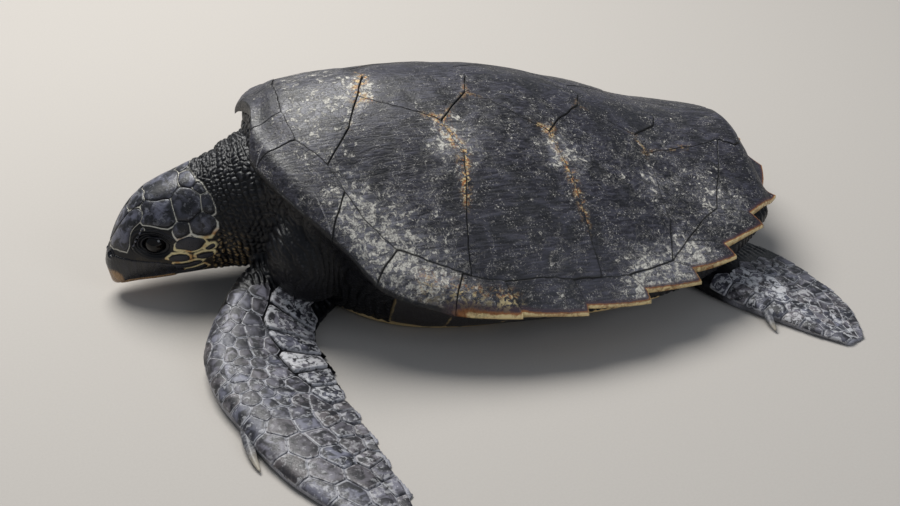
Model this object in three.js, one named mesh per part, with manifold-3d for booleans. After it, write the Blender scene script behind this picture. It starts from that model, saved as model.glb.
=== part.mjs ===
// Hawksbill turtle, life size, lying at rest on its plastron as a museum model.
// Millimetres, +Z up. The head points to -X and the animal's left side to -Y. The origin is on the
// ground, under the middle of the shell.
import * as THREE from "three";
import { mergeVertices } from "three/addons/utils/BufferGeometryUtils.js";
import Module from "manifold-3d";

const wasm = await Module();
wasm.setup();

// ---- Driving dimensions -------------------------------------------------------------------

const SHELL_HALF_WIDTH = 290;
const FRONT_REACH = 366; // semi-axis of the rim's front half, before the nuchal edge cuts it
const REAR_REACH = 362; // semi-axis of the rim's rear half, to the supracaudal tips
const NUCHAL_EDGE = 357; // the front edge beside the neck stands this far ahead of the origin
const NUCHAL_NOTCH = 14; // and its middle is drawn back by this much
const NUCHAL_NOTCH_WIDTH = 85;
const CROSS_POWER = 1.77; // roundness of the dome from side to side

// Height of the shell along its keel and along its rim, from front to rear: [x, z].
const KEEL = [[-352, 238], [-300, 264], [-200, 272], [-63, 258], [85, 213], [200, 165],
  [262, 151], [298, 145], [312, 132], [326, 100], [362, 84]];
const RIM = [[-352, 212], [-300, 180], [-262, 150], [-225, 108], [-182, 92], [-65, 73],
  [102, 64], [177, 64], [290, 81], [362, 86]];

const GAP = 0.3; // clearance between neighbouring solids
const SCUTE_THICKNESS = 6; // measured straight down through a vertebral or costal scute
const MARGINAL_THICKNESS = 8;
const SCUTE_LIFT = 3; // how far a scute's rear edge stands over the next scute
const SCUTE_STEP = 46; // longest edge along a scute's outline
const SERRATION = 19; // depth of the saw teeth along the rear rim

// Angles round the rim, in degrees from the nuchal edge, at which one marginal scute ends.
const RIM_SEAMS = [8, 17, 41, 51, 67, 80, 93, 106.5, 119.5, 131, 144, 158, 180];
const SUPRACAUDAL_TIP = 172;
const SUPRACAUDAL_NOTCH = 38; // depth of the notch between the last two scutes, over the tail
const SUPRACAUDAL_INSET = 15; // and how far their tips stay inside the rim

const EYE_RADIUS = 13.5;

// ---- Materials ----------------------------------------------------------------------------

const finish = (color, roughness) => new THREE.MeshStandardMaterial({ color, roughness, metalness: 0 });
const SCUTE_HORN = finish(0x2b2a2f, 0.5);
const RIM_HORN = finish(0x38303a, 0.5);
const PLASTRON_HORN = finish(0xc9a860, 0.5);
const DARK_SKIN = finish(0x1f1f22, 0.7);
const HEAD_SCALES = finish(0x2f3038, 0.5);
const FLIPPER_SCALES = finish(0x55585f, 0.7);
const BEAK_HORN = finish(0x201c1a, 0.35);
const EYE_GLOSS = finish(0x0b0a0a, 0.1);
const CLAW_HORN = finish(0x8a8478, 0.5);

// ---- Small helpers ------------------------------------------------------------------------

const radians = THREE.MathUtils.degToRad;

// A smooth curve through [x, value] pairs that never overshoots them.
function smooth(points, x) {
  const last = points.length - 1;
  if (x <= points[0][0]) return points[0][1];
  if (x >= points[last][0]) return points[last][1];
  const secant = (k) => (points[k + 1][1] - points[k][1]) / (points[k + 1][0] - points[k][0]);
  const slope = (k) => {
    if (k === 0) return secant(0);
    if (k === last) return secant(last - 1);
    const before = secant(k - 1);
    const after = secant(k);
    return before * after <= 0 ? 0 : (2 * before * after) / (before + after);
  };
  const i = points.findIndex((p, k) => k < last && x <= points[k + 1][0]);
  const span = points[i + 1][0] - points[i][0];
  const u = (x - points[i][0]) / span;
  const rise = points[i + 1][1] - points[i][1];
  const ease = u * u * (3 - 2 * u);
  const start = u * (1 - u) * (1 - u) * span * slope(i);
  const end = u * u * (u - 1) * span * slope(i + 1);
  return points[i][1] + rise * ease + start + end;
}

// A geometry of triangles from a list of corners, three per triangle.
function geometryOf(corners) {
  const flat = corners.flatMap((p) => [p.x, p.y, p.z]);
  return new THREE.BufferGeometry().setAttribute("position", new THREE.Float32BufferAttribute(flat, 3));
}

const middle = (ring) => ring.reduce((sum, p) => sum.add(p), new THREE.Vector3()).divideScalar(ring.length);

// A closed skin over rings of points, fanned out from a middle point at each end.
function loft(rings, ends = [middle(rings[0]), middle(rings[rings.length - 1])]) {
  const corners = [];
  const count = rings[0].length;
  for (let r = 0; r + 1 < rings.length; r++) {
    for (let k = 0; k < count; k++) {
      const [a, b] = [rings[r][k], rings[r][(k + 1) % count]];
      const [c, d] = [rings[r + 1][k], rings[r + 1][(k + 1) % count]];
      corners.push(a, b, d, a, d, c);
    }
  }
  const [first, final] = [rings[0], rings[rings.length - 1]];
  for (let k = 0; k < count; k++) {
    corners.push(ends[0], first[(k + 1) % count], first[k]);
    corners.push(ends[1], final[k], final[(k + 1) % count]);
  }
  return geometryOf(corners);
}

// three.js geometry to a manifold-3d solid, turned the right way out, and back.
function solidOf(geometry) {
  const bare = new THREE.BufferGeometry();
  bare.setAttribute("position", geometry.getAttribute("position"));
  if (geometry.index) bare.setIndex(geometry.index);
  const merged = mergeVertices(bare, 1e-3);
  const triVerts = new Uint32Array(merged.index.array);
  const vertProperties = merged.attributes.position.array;
  const solid = new wasm.Manifold(new wasm.Mesh({ numProp: 3, vertProperties, triVerts }));
  if (solid.volume() > 0) return solid;
  triVerts.reverse();
  return new wasm.Manifold(new wasm.Mesh({ numProp: 3, vertProperties, triVerts }));
}

function geometryFrom(solid) {
  const mesh = solid.getMesh();
  const geometry = new THREE.BufferGeometry();
  geometry.setAttribute("position", new THREE.BufferAttribute(mesh.vertProperties, 3));
  geometry.setIndex(new THREE.BufferAttribute(mesh.triVerts, 1));
  return geometry;
}

const boxAt = (size, matrix) => solidOf(new THREE.BoxGeometry(...size).applyMatrix4(matrix));
const joined = (solids) => solids.reduce((sum, solid) => sum.add(solid));

const turtle = new THREE.Group();

function addNode(name, solid, material) {
  const mesh = new THREE.Mesh(geometryFrom(solid), material);
  mesh.name = name;
  turtle.add(mesh);
}

// ---- Shell form ---------------------------------------------------------------------------

function halfWidth(x) {
  const reach = x < 0 ? FRONT_REACH : REAR_REACH;
  return SHELL_HALF_WIDTH * Math.sqrt(Math.max(0, 1 - (x / reach) ** 2));
}

function domeHeight(x, y) {
  const across = Math.min(1, Math.abs(y) / Math.max(halfWidth(x), 20));
  const rim = smooth(RIM, x);
  return rim + (smooth(KEEL, x) - rim) * (1 - across ** CROSS_POWER);
}

// A plan point on the rim, moved inwards by inset.
function rimPoint(degrees, inset = 0) {
  const angle = radians(degrees);
  const reach = degrees < 90 ? FRONT_REACH : REAR_REACH;
  const x = -(reach - inset) * Math.cos(angle);
  const y = (SHELL_HALF_WIDTH - inset) * Math.sin(angle);
  const notch = NUCHAL_NOTCH * (1 - THREE.MathUtils.smoothstep(Math.abs(y), 0, NUCHAL_NOTCH_WIDTH));
  return [Math.max(x, notch - NUCHAL_EDGE), y];
}

// ---- Scute layout, right half in plan ------------------------------------------------------

// Where the vertebral scutes meet on the keel, and the corner beside each of those places.
const KEEL_SEAMS = [[-310, 0], [-199, 0], [-64, 0], [88, 0], [195, 0], [312, 0]];
const KEEL_CORNERS = [[-310, 40], [-213, 35], [-72, 37], [78, 30], [185, 30], [304, 46]];

// Side corners of the five vertebral scutes.
const VERTEBRAL_SIDES = [
  [[-300, 85], [-264, 120], [-231, 80]],
  [[-118, 84]],
  [[19, 92]],
  [[147, 62]],
  [[147, 62], [149, 93], [210, 68], [272, 46], [292, 54]],
];

// Edge of each costal scute along the vertebrals, front to rear.
const COSTAL_TOPS = [
  [[-264, 120], [-231, 80], [-213, 35], [-118, 84]],
  [[-118, 84], [-72, 37], [19, 92]],
  [[19, 92], [78, 30], [147, 62], [149, 93]],
  [[149, 93], [210, 68], [272, 46]],
];

// Seams from the vertebrals down to the marginals, in front of and behind each costal.
const COSTAL_SEAMS = [
  [],
  [[-98, 124], [-106, 173]],
  [[33, 146], [40, 200]],
  [[156, 140], [160, 183]],
  [],
];

// Edge of each costal along the marginals, rear to front.
const COSTAL_FEET = [
  [[-118, 243], [-128, 239], [-200, 208], [-252, 152]],
  [[45, 256], [6, 260], [-80, 254], [-118, 243]],
  [[147, 232], [81, 254], [45, 256]],
  [[228, 156], [175, 205], [147, 232]],
];

// Inner edge of each marginal scute, front to rear.
const MARGINAL_TOPS = [
  [[-310, 40], [-300, 85]],
  [[-300, 85], [-264, 120], [-252, 152]],
  [[-252, 152], [-200, 208]],
  [[-200, 208], [-128, 239]],
  [[-128, 239], [-118, 243], [-80, 254]],
  [[-80, 254], [6, 260]],
  [[6, 260], [45, 256], [81, 254]],
  [[81, 254], [147, 232]],
  [[147, 232], [175, 205]],
  [[175, 205], [228, 156]],
  [[228, 156], [272, 46], [292, 54]],
  [[292, 54], [304, 46], [312, 0]],
];

const mirrored = (points) => points.map(([x, y]) => [x, -y]).reverse();

function vertebralOutline(k) {
  const side = [KEEL_CORNERS[k], ...VERTEBRAL_SIDES[k], KEEL_CORNERS[k + 1]];
  return [KEEL_SEAMS[k], ...side, KEEL_SEAMS[k + 1], ...mirrored(side)];
}

function costalOutline(k) {
  return [...COSTAL_TOPS[k], ...COSTAL_SEAMS[k + 1], ...COSTAL_FEET[k], ...[...COSTAL_SEAMS[k]].reverse()];
}

// Saw teeth start beside the bridge and deepen towards the tail.
const toothDepth = (degrees) => SERRATION * THREE.MathUtils.smoothstep(degrees, 60, 140);

function marginalOutline(k) {
  const [from, to] = [RIM_SEAMS[k], RIM_SEAMS[k + 1]];
  const isLast = k === MARGINAL_TOPS.length - 1;
  const tip = isLast ? SUPRACAUDAL_TIP : to;
  const notch = rimPoint(from, toothDepth(from));
  const steps = Math.max(1, Math.round((tip - from) / 7));
  const rim = [];
  for (let i = steps; i > 0; i--) {
    const share = i / steps;
    const inset = THREE.MathUtils.lerp(toothDepth(from), isLast ? SUPRACAUDAL_INSET : 0, share);
    rim.push(rimPoint(from + (tip - from) * share, inset));
  }
  const rearNotch = rimPoint(to, isLast ? SUPRACAUDAL_NOTCH : toothDepth(to));
  return [...MARGINAL_TOPS[k], rearNotch, ...rim, notch];
}

function nuchalOutline() {
  const side = [rimPoint(RIM_SEAMS[0]), MARGINAL_TOPS[0][0]];
  return [...side, KEEL_SEAMS[0], ...mirrored(side), rimPoint(0)];
}

// ---- Scutes -------------------------------------------------------------------------------

function densified(outline) {
  return outline.flatMap(([x, y], k) => {
    const [nextX, nextY] = outline[(k + 1) % outline.length];
    const steps = Math.max(1, Math.ceil(Math.hypot(nextX - x, nextY - y) / SCUTE_STEP));
    const between = (from, to, i) => from + ((to - from) * i) / steps;
    return Array.from({ length: steps }, (_, i) => [between(x, nextX, i), between(y, nextY, i)]);
  });
}

function centroid(outline) {
  const sum = { area: 0, x: 0, y: 0 };
  outline.forEach(([x, y], k) => {
    const [nextX, nextY] = outline[(k + 1) % outline.length];
    const cross = x * nextY - nextX * y;
    sum.area += cross;
    sum.x += (x + nextX) * cross;
    sum.y += (y + nextY) * cross;
  });
  return [sum.x / (3 * sum.area), sum.y / (3 * sum.area)];
}

// A plate over an outline: a fan of faces below, and rings that run in from the edge above.
function plate(outline, { top, bottom, topRings, inset }) {
  const edge = densified(outline);
  const [centreX, centreY] = centroid(outline);
  const ring = (scale, height) =>
    edge.map(([x, y]) => {
      const reach = Math.hypot(x - centreX, y - centreY);
      const share = scale * (1 - inset / reach);
      const [px, py] = [centreX + (x - centreX) * share, centreY + (y - centreY) * share];
      return new THREE.Vector3(px, py, height(px, py));
    });
  const ends = [bottom, top].map((height) => new THREE.Vector3(centreX, centreY, height(centreX, centreY)));
  return solidOf(loft([ring(1, bottom), ...topRings.map((scale) => ring(scale, top))], ends));
}

const CUT_REACH = 30; // how far a cutter stands out over what it cuts
const scuteCutters = [];

// One scute, with its rear edge standing over the next one, and the cutter that beds it.
function addScute(name, outline, material, { isMarginal }) {
  const front = Math.min(...outline.map((p) => p[0]));
  const rear = Math.max(...outline.map((p) => p[0]));
  const lift = (x) => (SCUTE_LIFT * (x - front)) / (rear - front);
  const across = (x, y) => Math.min(1, Math.abs(y) / Math.max(halfWidth(x), 20));
  const thickness = (x, y) =>
    isMarginal ? MARGINAL_THICKNESS * (1 - 0.45 * across(x, y) ** 6) : SCUTE_THICKNESS;
  const bottom = (x, y) => domeHeight(x, y) - thickness(x, y);
  const topRings = isMarginal ? [1, 0.45] : [1, 0.66, 0.3];
  const top = (x, y) => domeHeight(x, y) + lift(x);
  addNode(name, plate(outline, { top, bottom, topRings, inset: GAP }), material);
  const above = (x, y) => domeHeight(x, y) + CUT_REACH;
  const bed = (x, y) => bottom(x, y) - 1.5 * GAP;
  scuteCutters.push(plate(outline, { top: above, bottom: bed, topRings: [1], inset: -GAP }));
}

const SIDES = [["left", -1], ["right", 1]];

function addCarapace() {
  addScute("nuchal", nuchalOutline(), RIM_HORN, { isMarginal: true });
  for (let k = 0; k < VERTEBRAL_SIDES.length; k++) {
    addScute(`vertebral_${k + 1}`, vertebralOutline(k), SCUTE_HORN, { isMarginal: false });
  }
  for (const [side, sign] of SIDES) {
    const turned = sign < 0 ? mirrored : (outline) => outline;
    for (let k = 0; k < COSTAL_TOPS.length; k++) {
      addScute(`costal_${side}_${k + 1}`, turned(costalOutline(k)), SCUTE_HORN, { isMarginal: false });
    }
    for (let k = 0; k < MARGINAL_TOPS.length; k++) {
      addScute(`marginal_${side}_${k + 1}`, turned(marginalOutline(k)), RIM_HORN, { isMarginal: true });
    }
  }
}

addCarapace();

// ---- Plastron and bridges -------------------------------------------------------------------

const PLASTRON_HALF_WIDTH = 196;
const PLASTRON_CENTRE = -16;
const PLASTRON_REACH = 270;
const PLASTRON_THICKNESS = 10;
const BRIDGE_THICKNESS = 7;

// The plastron's outline: a rounded slab, slightly squared at its ends.
function plastronHalfWidth(x) {
  const along = Math.min(1, Math.abs((x - PLASTRON_CENTRE) / PLASTRON_REACH));
  return PLASTRON_HALF_WIDTH * Math.sqrt(1 - along ** 3.2);
}

function plastronRing(scale, z) {
  const sides = 40;
  return Array.from({ length: sides }, (_, k) => {
    const angle = (2 * Math.PI * k) / sides;
    const x = PLASTRON_CENTRE + PLASTRON_REACH * scale * Math.cos(angle);
    const y = Math.sign(Math.sin(angle)) * plastronHalfWidth(PLASTRON_CENTRE + (x - PLASTRON_CENTRE) / scale);
    return new THREE.Vector3(x, Math.abs(Math.sin(angle)) < 1e-6 ? 0 : y * scale, z);
  });
}

// A flat underside with its edge turned up a little.
function plastron(clearance) {
  const top = PLASTRON_THICKNESS + clearance;
  const grow = 1 + clearance / 150;
  const foot = -10 * Math.sign(clearance);
  return solidOf(loft([plastronRing(0.93, foot), plastronRing(grow, 5), plastronRing(grow, top)]));
}

// The bridge joins the plastron's side to the marginals, as a sloping plate.
function bridge(side, clearance) {
  const stations = [-205, -150, -90, -30, 30, 90, 125];
  const below = clearance > 0 ? 40 : 0;
  const rings = stations.map((x) => {
    const inner = plastronHalfWidth(x) - 3;
    const outer = 0.915 * halfWidth(x) + clearance;
    const rise = smooth(RIM, x) - 14;
    const extra = BRIDGE_THICKNESS + 3 * clearance;
    const corners = [[inner, 3 - below], [outer, rise - below], [outer, rise + extra], [inner, 3 + extra]];
    return corners.map(([y, z]) => new THREE.Vector3(x, side * y, z));
  });
  return solidOf(loft(rings));
}

addNode("plastron", plastron(0), PLASTRON_HORN);
for (const [name, side] of SIDES) {
  addNode(`bridge_${name}`, bridge(side, 0).subtract(plastron(GAP)), PLASTRON_HORN);
}

// ---- Trunk ----------------------------------------------------------------------------------

// Half-width of the body wall half way up and at its foot, and the foot's height: [x, wall, foot, z].
const TRUNK_STATIONS = [[-316, 112, 70, 44], [-290, 132, 96, 26], [-258, 156, 128, 12], [-205, 190, 172, 5],
  [-130, 212, 190, 5], [-50, 220, 196, 5], [50, 220, 196, 5], [130, 200, 178, 5], [200, 165, 140, 8],
  [255, 120, 84, 14], [290, 84, 50, 28], [316, 54, 30, 46]];

function trunkRing([x, wall, foot, footHeight]) {
  const brim = 0.92 * halfWidth(x);
  const brimHeight = smooth(RIM, x) - 10;
  const arch = Array.from({ length: 9 }, (_, k) => {
    const y = brim * Math.cos((Math.PI * k) / 8);
    return [y, domeHeight(x, y) - 1];
  });
  const wallHeight = footHeight + 0.45 * (brimHeight - footHeight);
  const flank = [[brim, brimHeight], [wall, wallHeight], [foot, footHeight]];
  const left = flank.map(([y, z]) => [-y, z]);
  return [...arch, ...left, ...flank.reverse()].map(([y, z]) => new THREE.Vector3(x, y, z));
}

const trunk = solidOf(loft(TRUNK_STATIONS.map(trunkRing)));

// ---- Neck and head ----------------------------------------------------------------------------

const HEAD_ROOT = new THREE.Vector3(-400, 0, 105); // where the skull meets the neck
const HEAD_PITCH = 12; // degrees nose down
const MOUTH_LEVEL = -47.5; // below the head's axis

// Sections of the neck: [x, centre z, half-width, half-height].
const NECK_STATIONS = [[-270, 130, 102, 84], [-310, 124, 92, 87], [-350, 119, 82, 86], [-380, 112, 68, 82],
  [-402, 107, 57, 74]];

// Sections of the head along its axis: [distance ahead of the root, half-width, top, bottom].
const HEAD_STATIONS = [[-12, 60, 74, -75], [15, 58, 69, -72], [40, 55.5, 65, -68], [68, 51.5, 59, -64],
  [90, 45, 49, -62], [110, 36, 33, -60], [124, 29, 17, -59], [136, 22, 0, -59], [145, 15, -13.5, -58],
  [150, 7, -25, -57]];

const headFrame = new THREE.Matrix4()
  .makeRotationY(-radians(HEAD_PITCH))
  .premultiply(new THREE.Matrix4().makeTranslation(HEAD_ROOT));

// A point of the head from its distance ahead, offset to the right and height over the axis.
const headPoint = (ahead, across, up) => new THREE.Vector3(-ahead, across, up).applyMatrix4(headFrame);

const SECTION_SIDES = 18;

// A rounded section, a little squared by its power.
function section(halfWidth, top, bottom, power, place) {
  const level = (top + bottom) / 2 - 0.08 * (top - bottom);
  return Array.from({ length: SECTION_SIDES }, (_, k) => {
    const angle = (2 * Math.PI * (k + 0.5)) / SECTION_SIDES;
    const [c, s] = [Math.cos(angle), Math.sin(angle)];
    const y = halfWidth * Math.sign(c) * Math.abs(c) ** power;
    const reach = s > 0 ? top - level : level - bottom;
    return place(y, level + reach * Math.sign(s) * Math.abs(s) ** power);
  });
}

function neck(clearance) {
  return solidOf(loft(NECK_STATIONS.map(([x, z, wide, high]) => {
    const place = (y, height) => new THREE.Vector3(x, y, height);
    return section(wide + clearance, z + high + clearance, z - high - clearance, 0.9, place);
  })));
}

const head = solidOf(loft(HEAD_STATIONS.map(([ahead, wide, top, bottom]) =>
  section(wide, top, bottom, 0.86, (across, up) => headPoint(ahead, across, up)))));

// A line in the head's side view, drawn out to a strip as wide as the gap.
function strip(line) {
  const offsets = line.map((_, k) => {
    const [a, b] = [line[Math.max(0, k - 1)], line[Math.min(line.length - 1, k + 1)]];
    return new THREE.Vector2(a[1] - b[1], b[0] - a[0]).setLength(GAP / 2);
  });
  const edge = (sign) =>
    line.map(([ahead, up], k) => [ahead + sign * offsets[k].x, up + sign * offsets[k].y]);
  return [...edge(1), ...edge(-1).reverse()];
}

// A thin blade right across the head along such a line, that parts two pieces.
function headBlade(line) {
  const shape = new THREE.Shape(strip(line).map(([ahead, up]) => new THREE.Vector2(-ahead, up)));
  const blade = new THREE.ExtrudeGeometry(shape, { depth: 240, bevelEnabled: false });
  blade.applyMatrix4(new THREE.Matrix4().makeTranslation(0, 0, -120));
  blade.applyMatrix4(new THREE.Matrix4().makeRotationX(Math.PI / 2));
  return solidOf(blade.applyMatrix4(headFrame));
}

const HORN_LINE = [[170, -4], [136, -9], [104, -17], [84, -21], [62, -31], [52, MOUTH_LEVEL]];
const MOUTH_LINE = [[170, -62], [147, -62.5], [139, -52], [128, MOUTH_LEVEL], [52, MOUTH_LEVEL]];
const JAW_LINE = [[70, MOUTH_LEVEL], [64, -90]];
const NECK_LINE = [[2, 110], [2, -110]];

// ---- Eyes -----------------------------------------------------------------------------------

const EYE_PLACE = { ahead: 80, across: 34, up: 1 };

function eyeball(side, clearance) {
  const ball = new THREE.SphereGeometry(EYE_RADIUS + clearance, 12, 8);
  const { ahead, across, up } = EYE_PLACE;
  const centre = headPoint(ahead, side * across, up);
  return solidOf(ball.applyMatrix4(new THREE.Matrix4().makeTranslation(centre)));
}

// ---- Flippers ---------------------------------------------------------------------------------

// Chord and thickness of a flipper at even steps from its root to its tip.
const FRONT_FLIPPER = {
  chord: [84, 100, 114, 128, 145, 148, 138, 133, 122, 101, 79, 49, 14],
  height: [100, 88, 70, 56, 45, 36, 30, 25, 21, 17, 13, 9, 6],
  teeth: 12,
  toothDepth: 7,
};
const HIND_FLIPPER = {
  chord: [108, 122, 136, 145, 138, 122, 102, 72, 26],
  height: [66, 56, 44, 33, 24, 18, 14, 10, 6],
  teeth: 7,
  toothDepth: 4,
};

// Middle line of each flipper on the ground, from inside the trunk to the tip.
const SPINES = {
  front_left: [[-262, -50], [-312, -88], [-352, -138], [-371, -212], [-364, -270], [-347, -343], [-323, -422],
    [-292, -500], [-262, -604]],
  front_right: [[-252, 45], [-300, 92], [-310, 165], [-272, 245], [-195, 306], [-98, 352], [10, 390],
    [70, 405]],
  hind_left: [[188, -72], [259, -138], [297, -200], [329, -260], [356, -338]],
  hind_right: [[185, 80], [240, 140], [272, 190], [300, 240], [318, 285], [330, 325]],
};

// Section of a flipper from its leading to its trailing edge: [share of the chord, share of the height].
const FLIPPER_SECTION = [[0, 0.45], [0.06, 0.82], [0.22, 1], [0.45, 0.86], [0.7, 0.52], [0.93, 0.2]];

const spineOf = (name) =>
  new THREE.CatmullRomCurve3(SPINES[name].map(([x, y]) => new THREE.Vector3(x, y, 0)));

// Where a flipper's middle line is at a share of its length, with its way ahead and its leading side.
function spineAt(name, share) {
  const spine = spineOf(name);
  const along = spine.getTangentAt(share);
  const lead = name.endsWith("left") ? 1 : -1;
  const leading = new THREE.Vector3(along.y, -along.x, 0).multiplyScalar(lead);
  return { centre: spine.getPointAt(share), along, leading };
}

const evenly = (values, share) => smooth(values.map((value, k) => [k / (values.length - 1), value]), share);

function flipper(name, { chord, height, teeth, toothDepth: depth }) {
  const count = 2 * (chord.length - 1) + 1;
  const rings = Array.from({ length: count }, (_, k) => {
    const share = k / (count - 1);
    const { centre, leading } = spineAt(name, share);
    const wide = evenly(chord, share);
    const high = evenly(height, share);
    const tooth = share > 0.25 && share < 0.97 ? depth * ((share * teeth * 2) % 1) : 0;
    const reach = (part) => wide * (0.5 - part) - tooth * part;
    const at = (part, z) => centre.clone().addScaledVector(leading, reach(part)).setZ(z);
    const upper = FLIPPER_SECTION.map(([part, rise]) => at(part, Math.max(3, rise * high)));
    return [...upper, at(1, 3), at(0.98, 0), at(0.5, 0), at(0.05, 0)];
  });
  return solidOf(loft(rings));
}

// A thin upright blade square across a flipper's middle line, that parts it there.
function flipperBlade(name, share, reach) {
  const { centre, along } = spineAt(name, share);
  const turn = new THREE.Matrix4().makeRotationZ(Math.atan2(along.y, along.x));
  const place = new THREE.Matrix4().makeTranslation(centre.x, centre.y, 0);
  return boxAt([GAP, 2 * reach, 2 * BLADE_HEIGHT], place.multiply(turn));
}

const BLADE_HEIGHT = 110;

// Where the limbs are parted: [flipper, share of its length, half-width of the blade].
const PARTINGS = [["front_left", 0.3, 90], ["front_left", 0.48, 100], ["front_right", 0.32, 90],
  ["front_right", 0.48, 100], ["hind_left", 0.3, 84], ["hind_right", 0.38, 100]];

// ---- Claws and tail ---------------------------------------------------------------------------

const SPUR_STEPS = 4;
const SPUR_SIDES = 8;

// A curved spur from its root to its tip, drawn out of a round section.
function spur(root, bend, tip, rootRadius, tipRadius) {
  const line = new THREE.QuadraticBezierCurve3(root, bend, tip);
  const frames = line.computeFrenetFrames(SPUR_STEPS, false);
  const rings = Array.from({ length: SPUR_STEPS + 1 }, (_, k) => {
    const centre = line.getPoint(k / SPUR_STEPS);
    const radius = rootRadius + ((tipRadius - rootRadius) * k) / SPUR_STEPS;
    return Array.from({ length: SPUR_SIDES }, (_, j) => {
      const angle = (2 * Math.PI * j) / SPUR_SIDES;
      const offset = frames.normals[k].clone().multiplyScalar(radius * Math.cos(angle));
      offset.addScaledVector(frames.binormals[k], radius * Math.sin(angle));
      return centre.clone().add(offset);
    });
  });
  return solidOf(loft(rings));
}

// A claw starts in the leading edge, runs towards the flipper's tip and stands off it by its splay.
function claw(name, clearance) {
  const { share, chord, size, splay, radius } = CLAWS[name];
  const { centre, along, leading } = spineAt(name, share);
  const at = (ahead, out, z) => {
    const place = centre.clone().addScaledVector(leading, chord / 2 + out * size);
    return place.addScaledVector(along, ahead * size).setZ(z);
  };
  const line = [at(-0.4, -0.24, 9), at(0.3, 0.05 + splay / 2, 10), at(1, splay, 4)];
  return spur(...line, radius + clearance, 1.5 + clearance);
}

const FRONT_CLAW = { share: 0.535, chord: 134, size: 62, splay: 0.12, radius: 9.5 };
const HIND_CLAW = { share: 0.67, chord: 114, size: 24, splay: 0.6, radius: 6.5 };
const CLAWS = {
  front_left: FRONT_CLAW,
  front_right: FRONT_CLAW,
  hind_left: HIND_CLAW,
  hind_right: HIND_CLAW,
};

const TAIL_START = 316.5;
const TAIL_LINE = [[232, 52], [300, 46], [350, 18]].map(([x, z]) => new THREE.Vector3(x, 0, z));
const tail = spur(...TAIL_LINE, 34, 5);

// ---- Shoulders ----------------------------------------------------------------------------------

// Folds of skin that fill the shell's opening on both sides of the neck.
const SHOULDER = { x: -292, y: 116, z: 96, radii: [56, 54, 64] };

function shoulder(side) {
  const ball = new THREE.SphereGeometry(1, 16, 10);
  ball.applyMatrix4(new THREE.Matrix4().makeScale(...SHOULDER.radii));
  const { x, y, z } = SHOULDER;
  return solidOf(ball.applyMatrix4(new THREE.Matrix4().makeTranslation(x, side * y, z)));
}

// ---- Flesh, parted into its nodes ---------------------------------------------------------------

const limbs = [
  ...["front_left", "front_right"].map((name) => flipper(name, FRONT_FLIPPER)),
  ...["hind_left", "hind_right"].map((name) => flipper(name, HIND_FLIPPER)),
];

const NECK_START = -345; // the neck is its own piece ahead of here
const SPACE = 1000;

// A box that takes in everything ahead of, or behind, a level along the body.
const aheadOf = (x) => boxAt([SPACE, SPACE, SPACE], new THREE.Matrix4().makeTranslation(x - SPACE / 2, 0, 0));
const behind = (x) => boxAt([SPACE, SPACE, SPACE], new THREE.Matrix4().makeTranslation(x + SPACE / 2, 0, 0));

const forepart = joined([neck(0), head]).intersect(aheadOf(NECK_START - GAP));
const shoulders = SIDES.map(([, side]) => shoulder(side));
const socket = neck(GAP).intersect(aheadOf(NECK_START));
const body = joined([trunk.subtract(behind(TAIL_START)), neck(0), ...shoulders, ...limbs]).subtract(socket);
const tailpiece = tail.intersect(behind(TAIL_START + GAP));

const cutters = [
  ...scuteCutters,
  plastron(GAP),
  ...SIDES.map(([, side]) => bridge(side, GAP)),
  ...SIDES.map(([, side]) => eyeball(side, GAP)),
  ...Object.keys(CLAWS).map((name) => claw(name, GAP)),
  ...[HORN_LINE, MOUTH_LINE, JAW_LINE, NECK_LINE].map(headBlade),
  ...PARTINGS.map(([name, share, reach]) => flipperBlade(name, share, reach)),
];

const pieces = [forepart, body, tailpiece].flatMap((solid) => solid.subtract(joined(cutters)).decompose());

// Takes the piece of flesh that holds a point.
function pieceAt(point) {
  const probe = boxAt([0.4, 0.4, 0.4], new THREE.Matrix4().makeTranslation(point));
  return pieces.find((piece) => piece.intersect(probe).volume() > 0);
}

const FLESH = [
  ["trunk", new THREE.Vector3(0, 0, 80), DARK_SKIN],
  ["neck", new THREE.Vector3(-370, 0, 115), DARK_SKIN],
  ["head", headPoint(40, 0, 10), HEAD_SCALES],
  ["beak_upper", headPoint(110, 0, -35), BEAK_HORN],
  ["beak_lower", headPoint(100, 0, -54), BEAK_HORN],
  ["tail", new THREE.Vector3(335, 0, 28), DARK_SKIN],
];
for (const [side] of SIDES) {
  FLESH.push([`arm_${side}`, spineAt(`front_${side}`, 0.4).centre.setZ(12), DARK_SKIN]);
  FLESH.push([`flipper_front_${side}`, spineAt(`front_${side}`, 0.55).centre.setZ(6), FLIPPER_SCALES]);
  FLESH.push([`flipper_hind_${side}`, spineAt(`hind_${side}`, 0.6).centre.setZ(6), FLIPPER_SCALES]);
}

for (const [name, point, material] of FLESH) addNode(name, pieceAt(point), material);
for (const [name, side] of SIDES) addNode(`eye_${name}`, eyeball(side, 0), EYE_GLOSS);
for (const name of Object.keys(CLAWS)) addNode(`claw_${name}`, claw(name, 0), CLAW_HORN);

export default turtle;
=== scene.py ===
"""Looks of a hawksbill turtle at rest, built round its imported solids: skin, scutes, scales, beak, eyes."""

import logging
import math
from dataclasses import dataclass, field
from enum import Enum
from functools import partial
from itertools import product
from typing import Callable

import bmesh
import bpy
import numpy as np
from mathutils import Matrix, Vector
from mathutils.bvhtree import BVHTree


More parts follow.
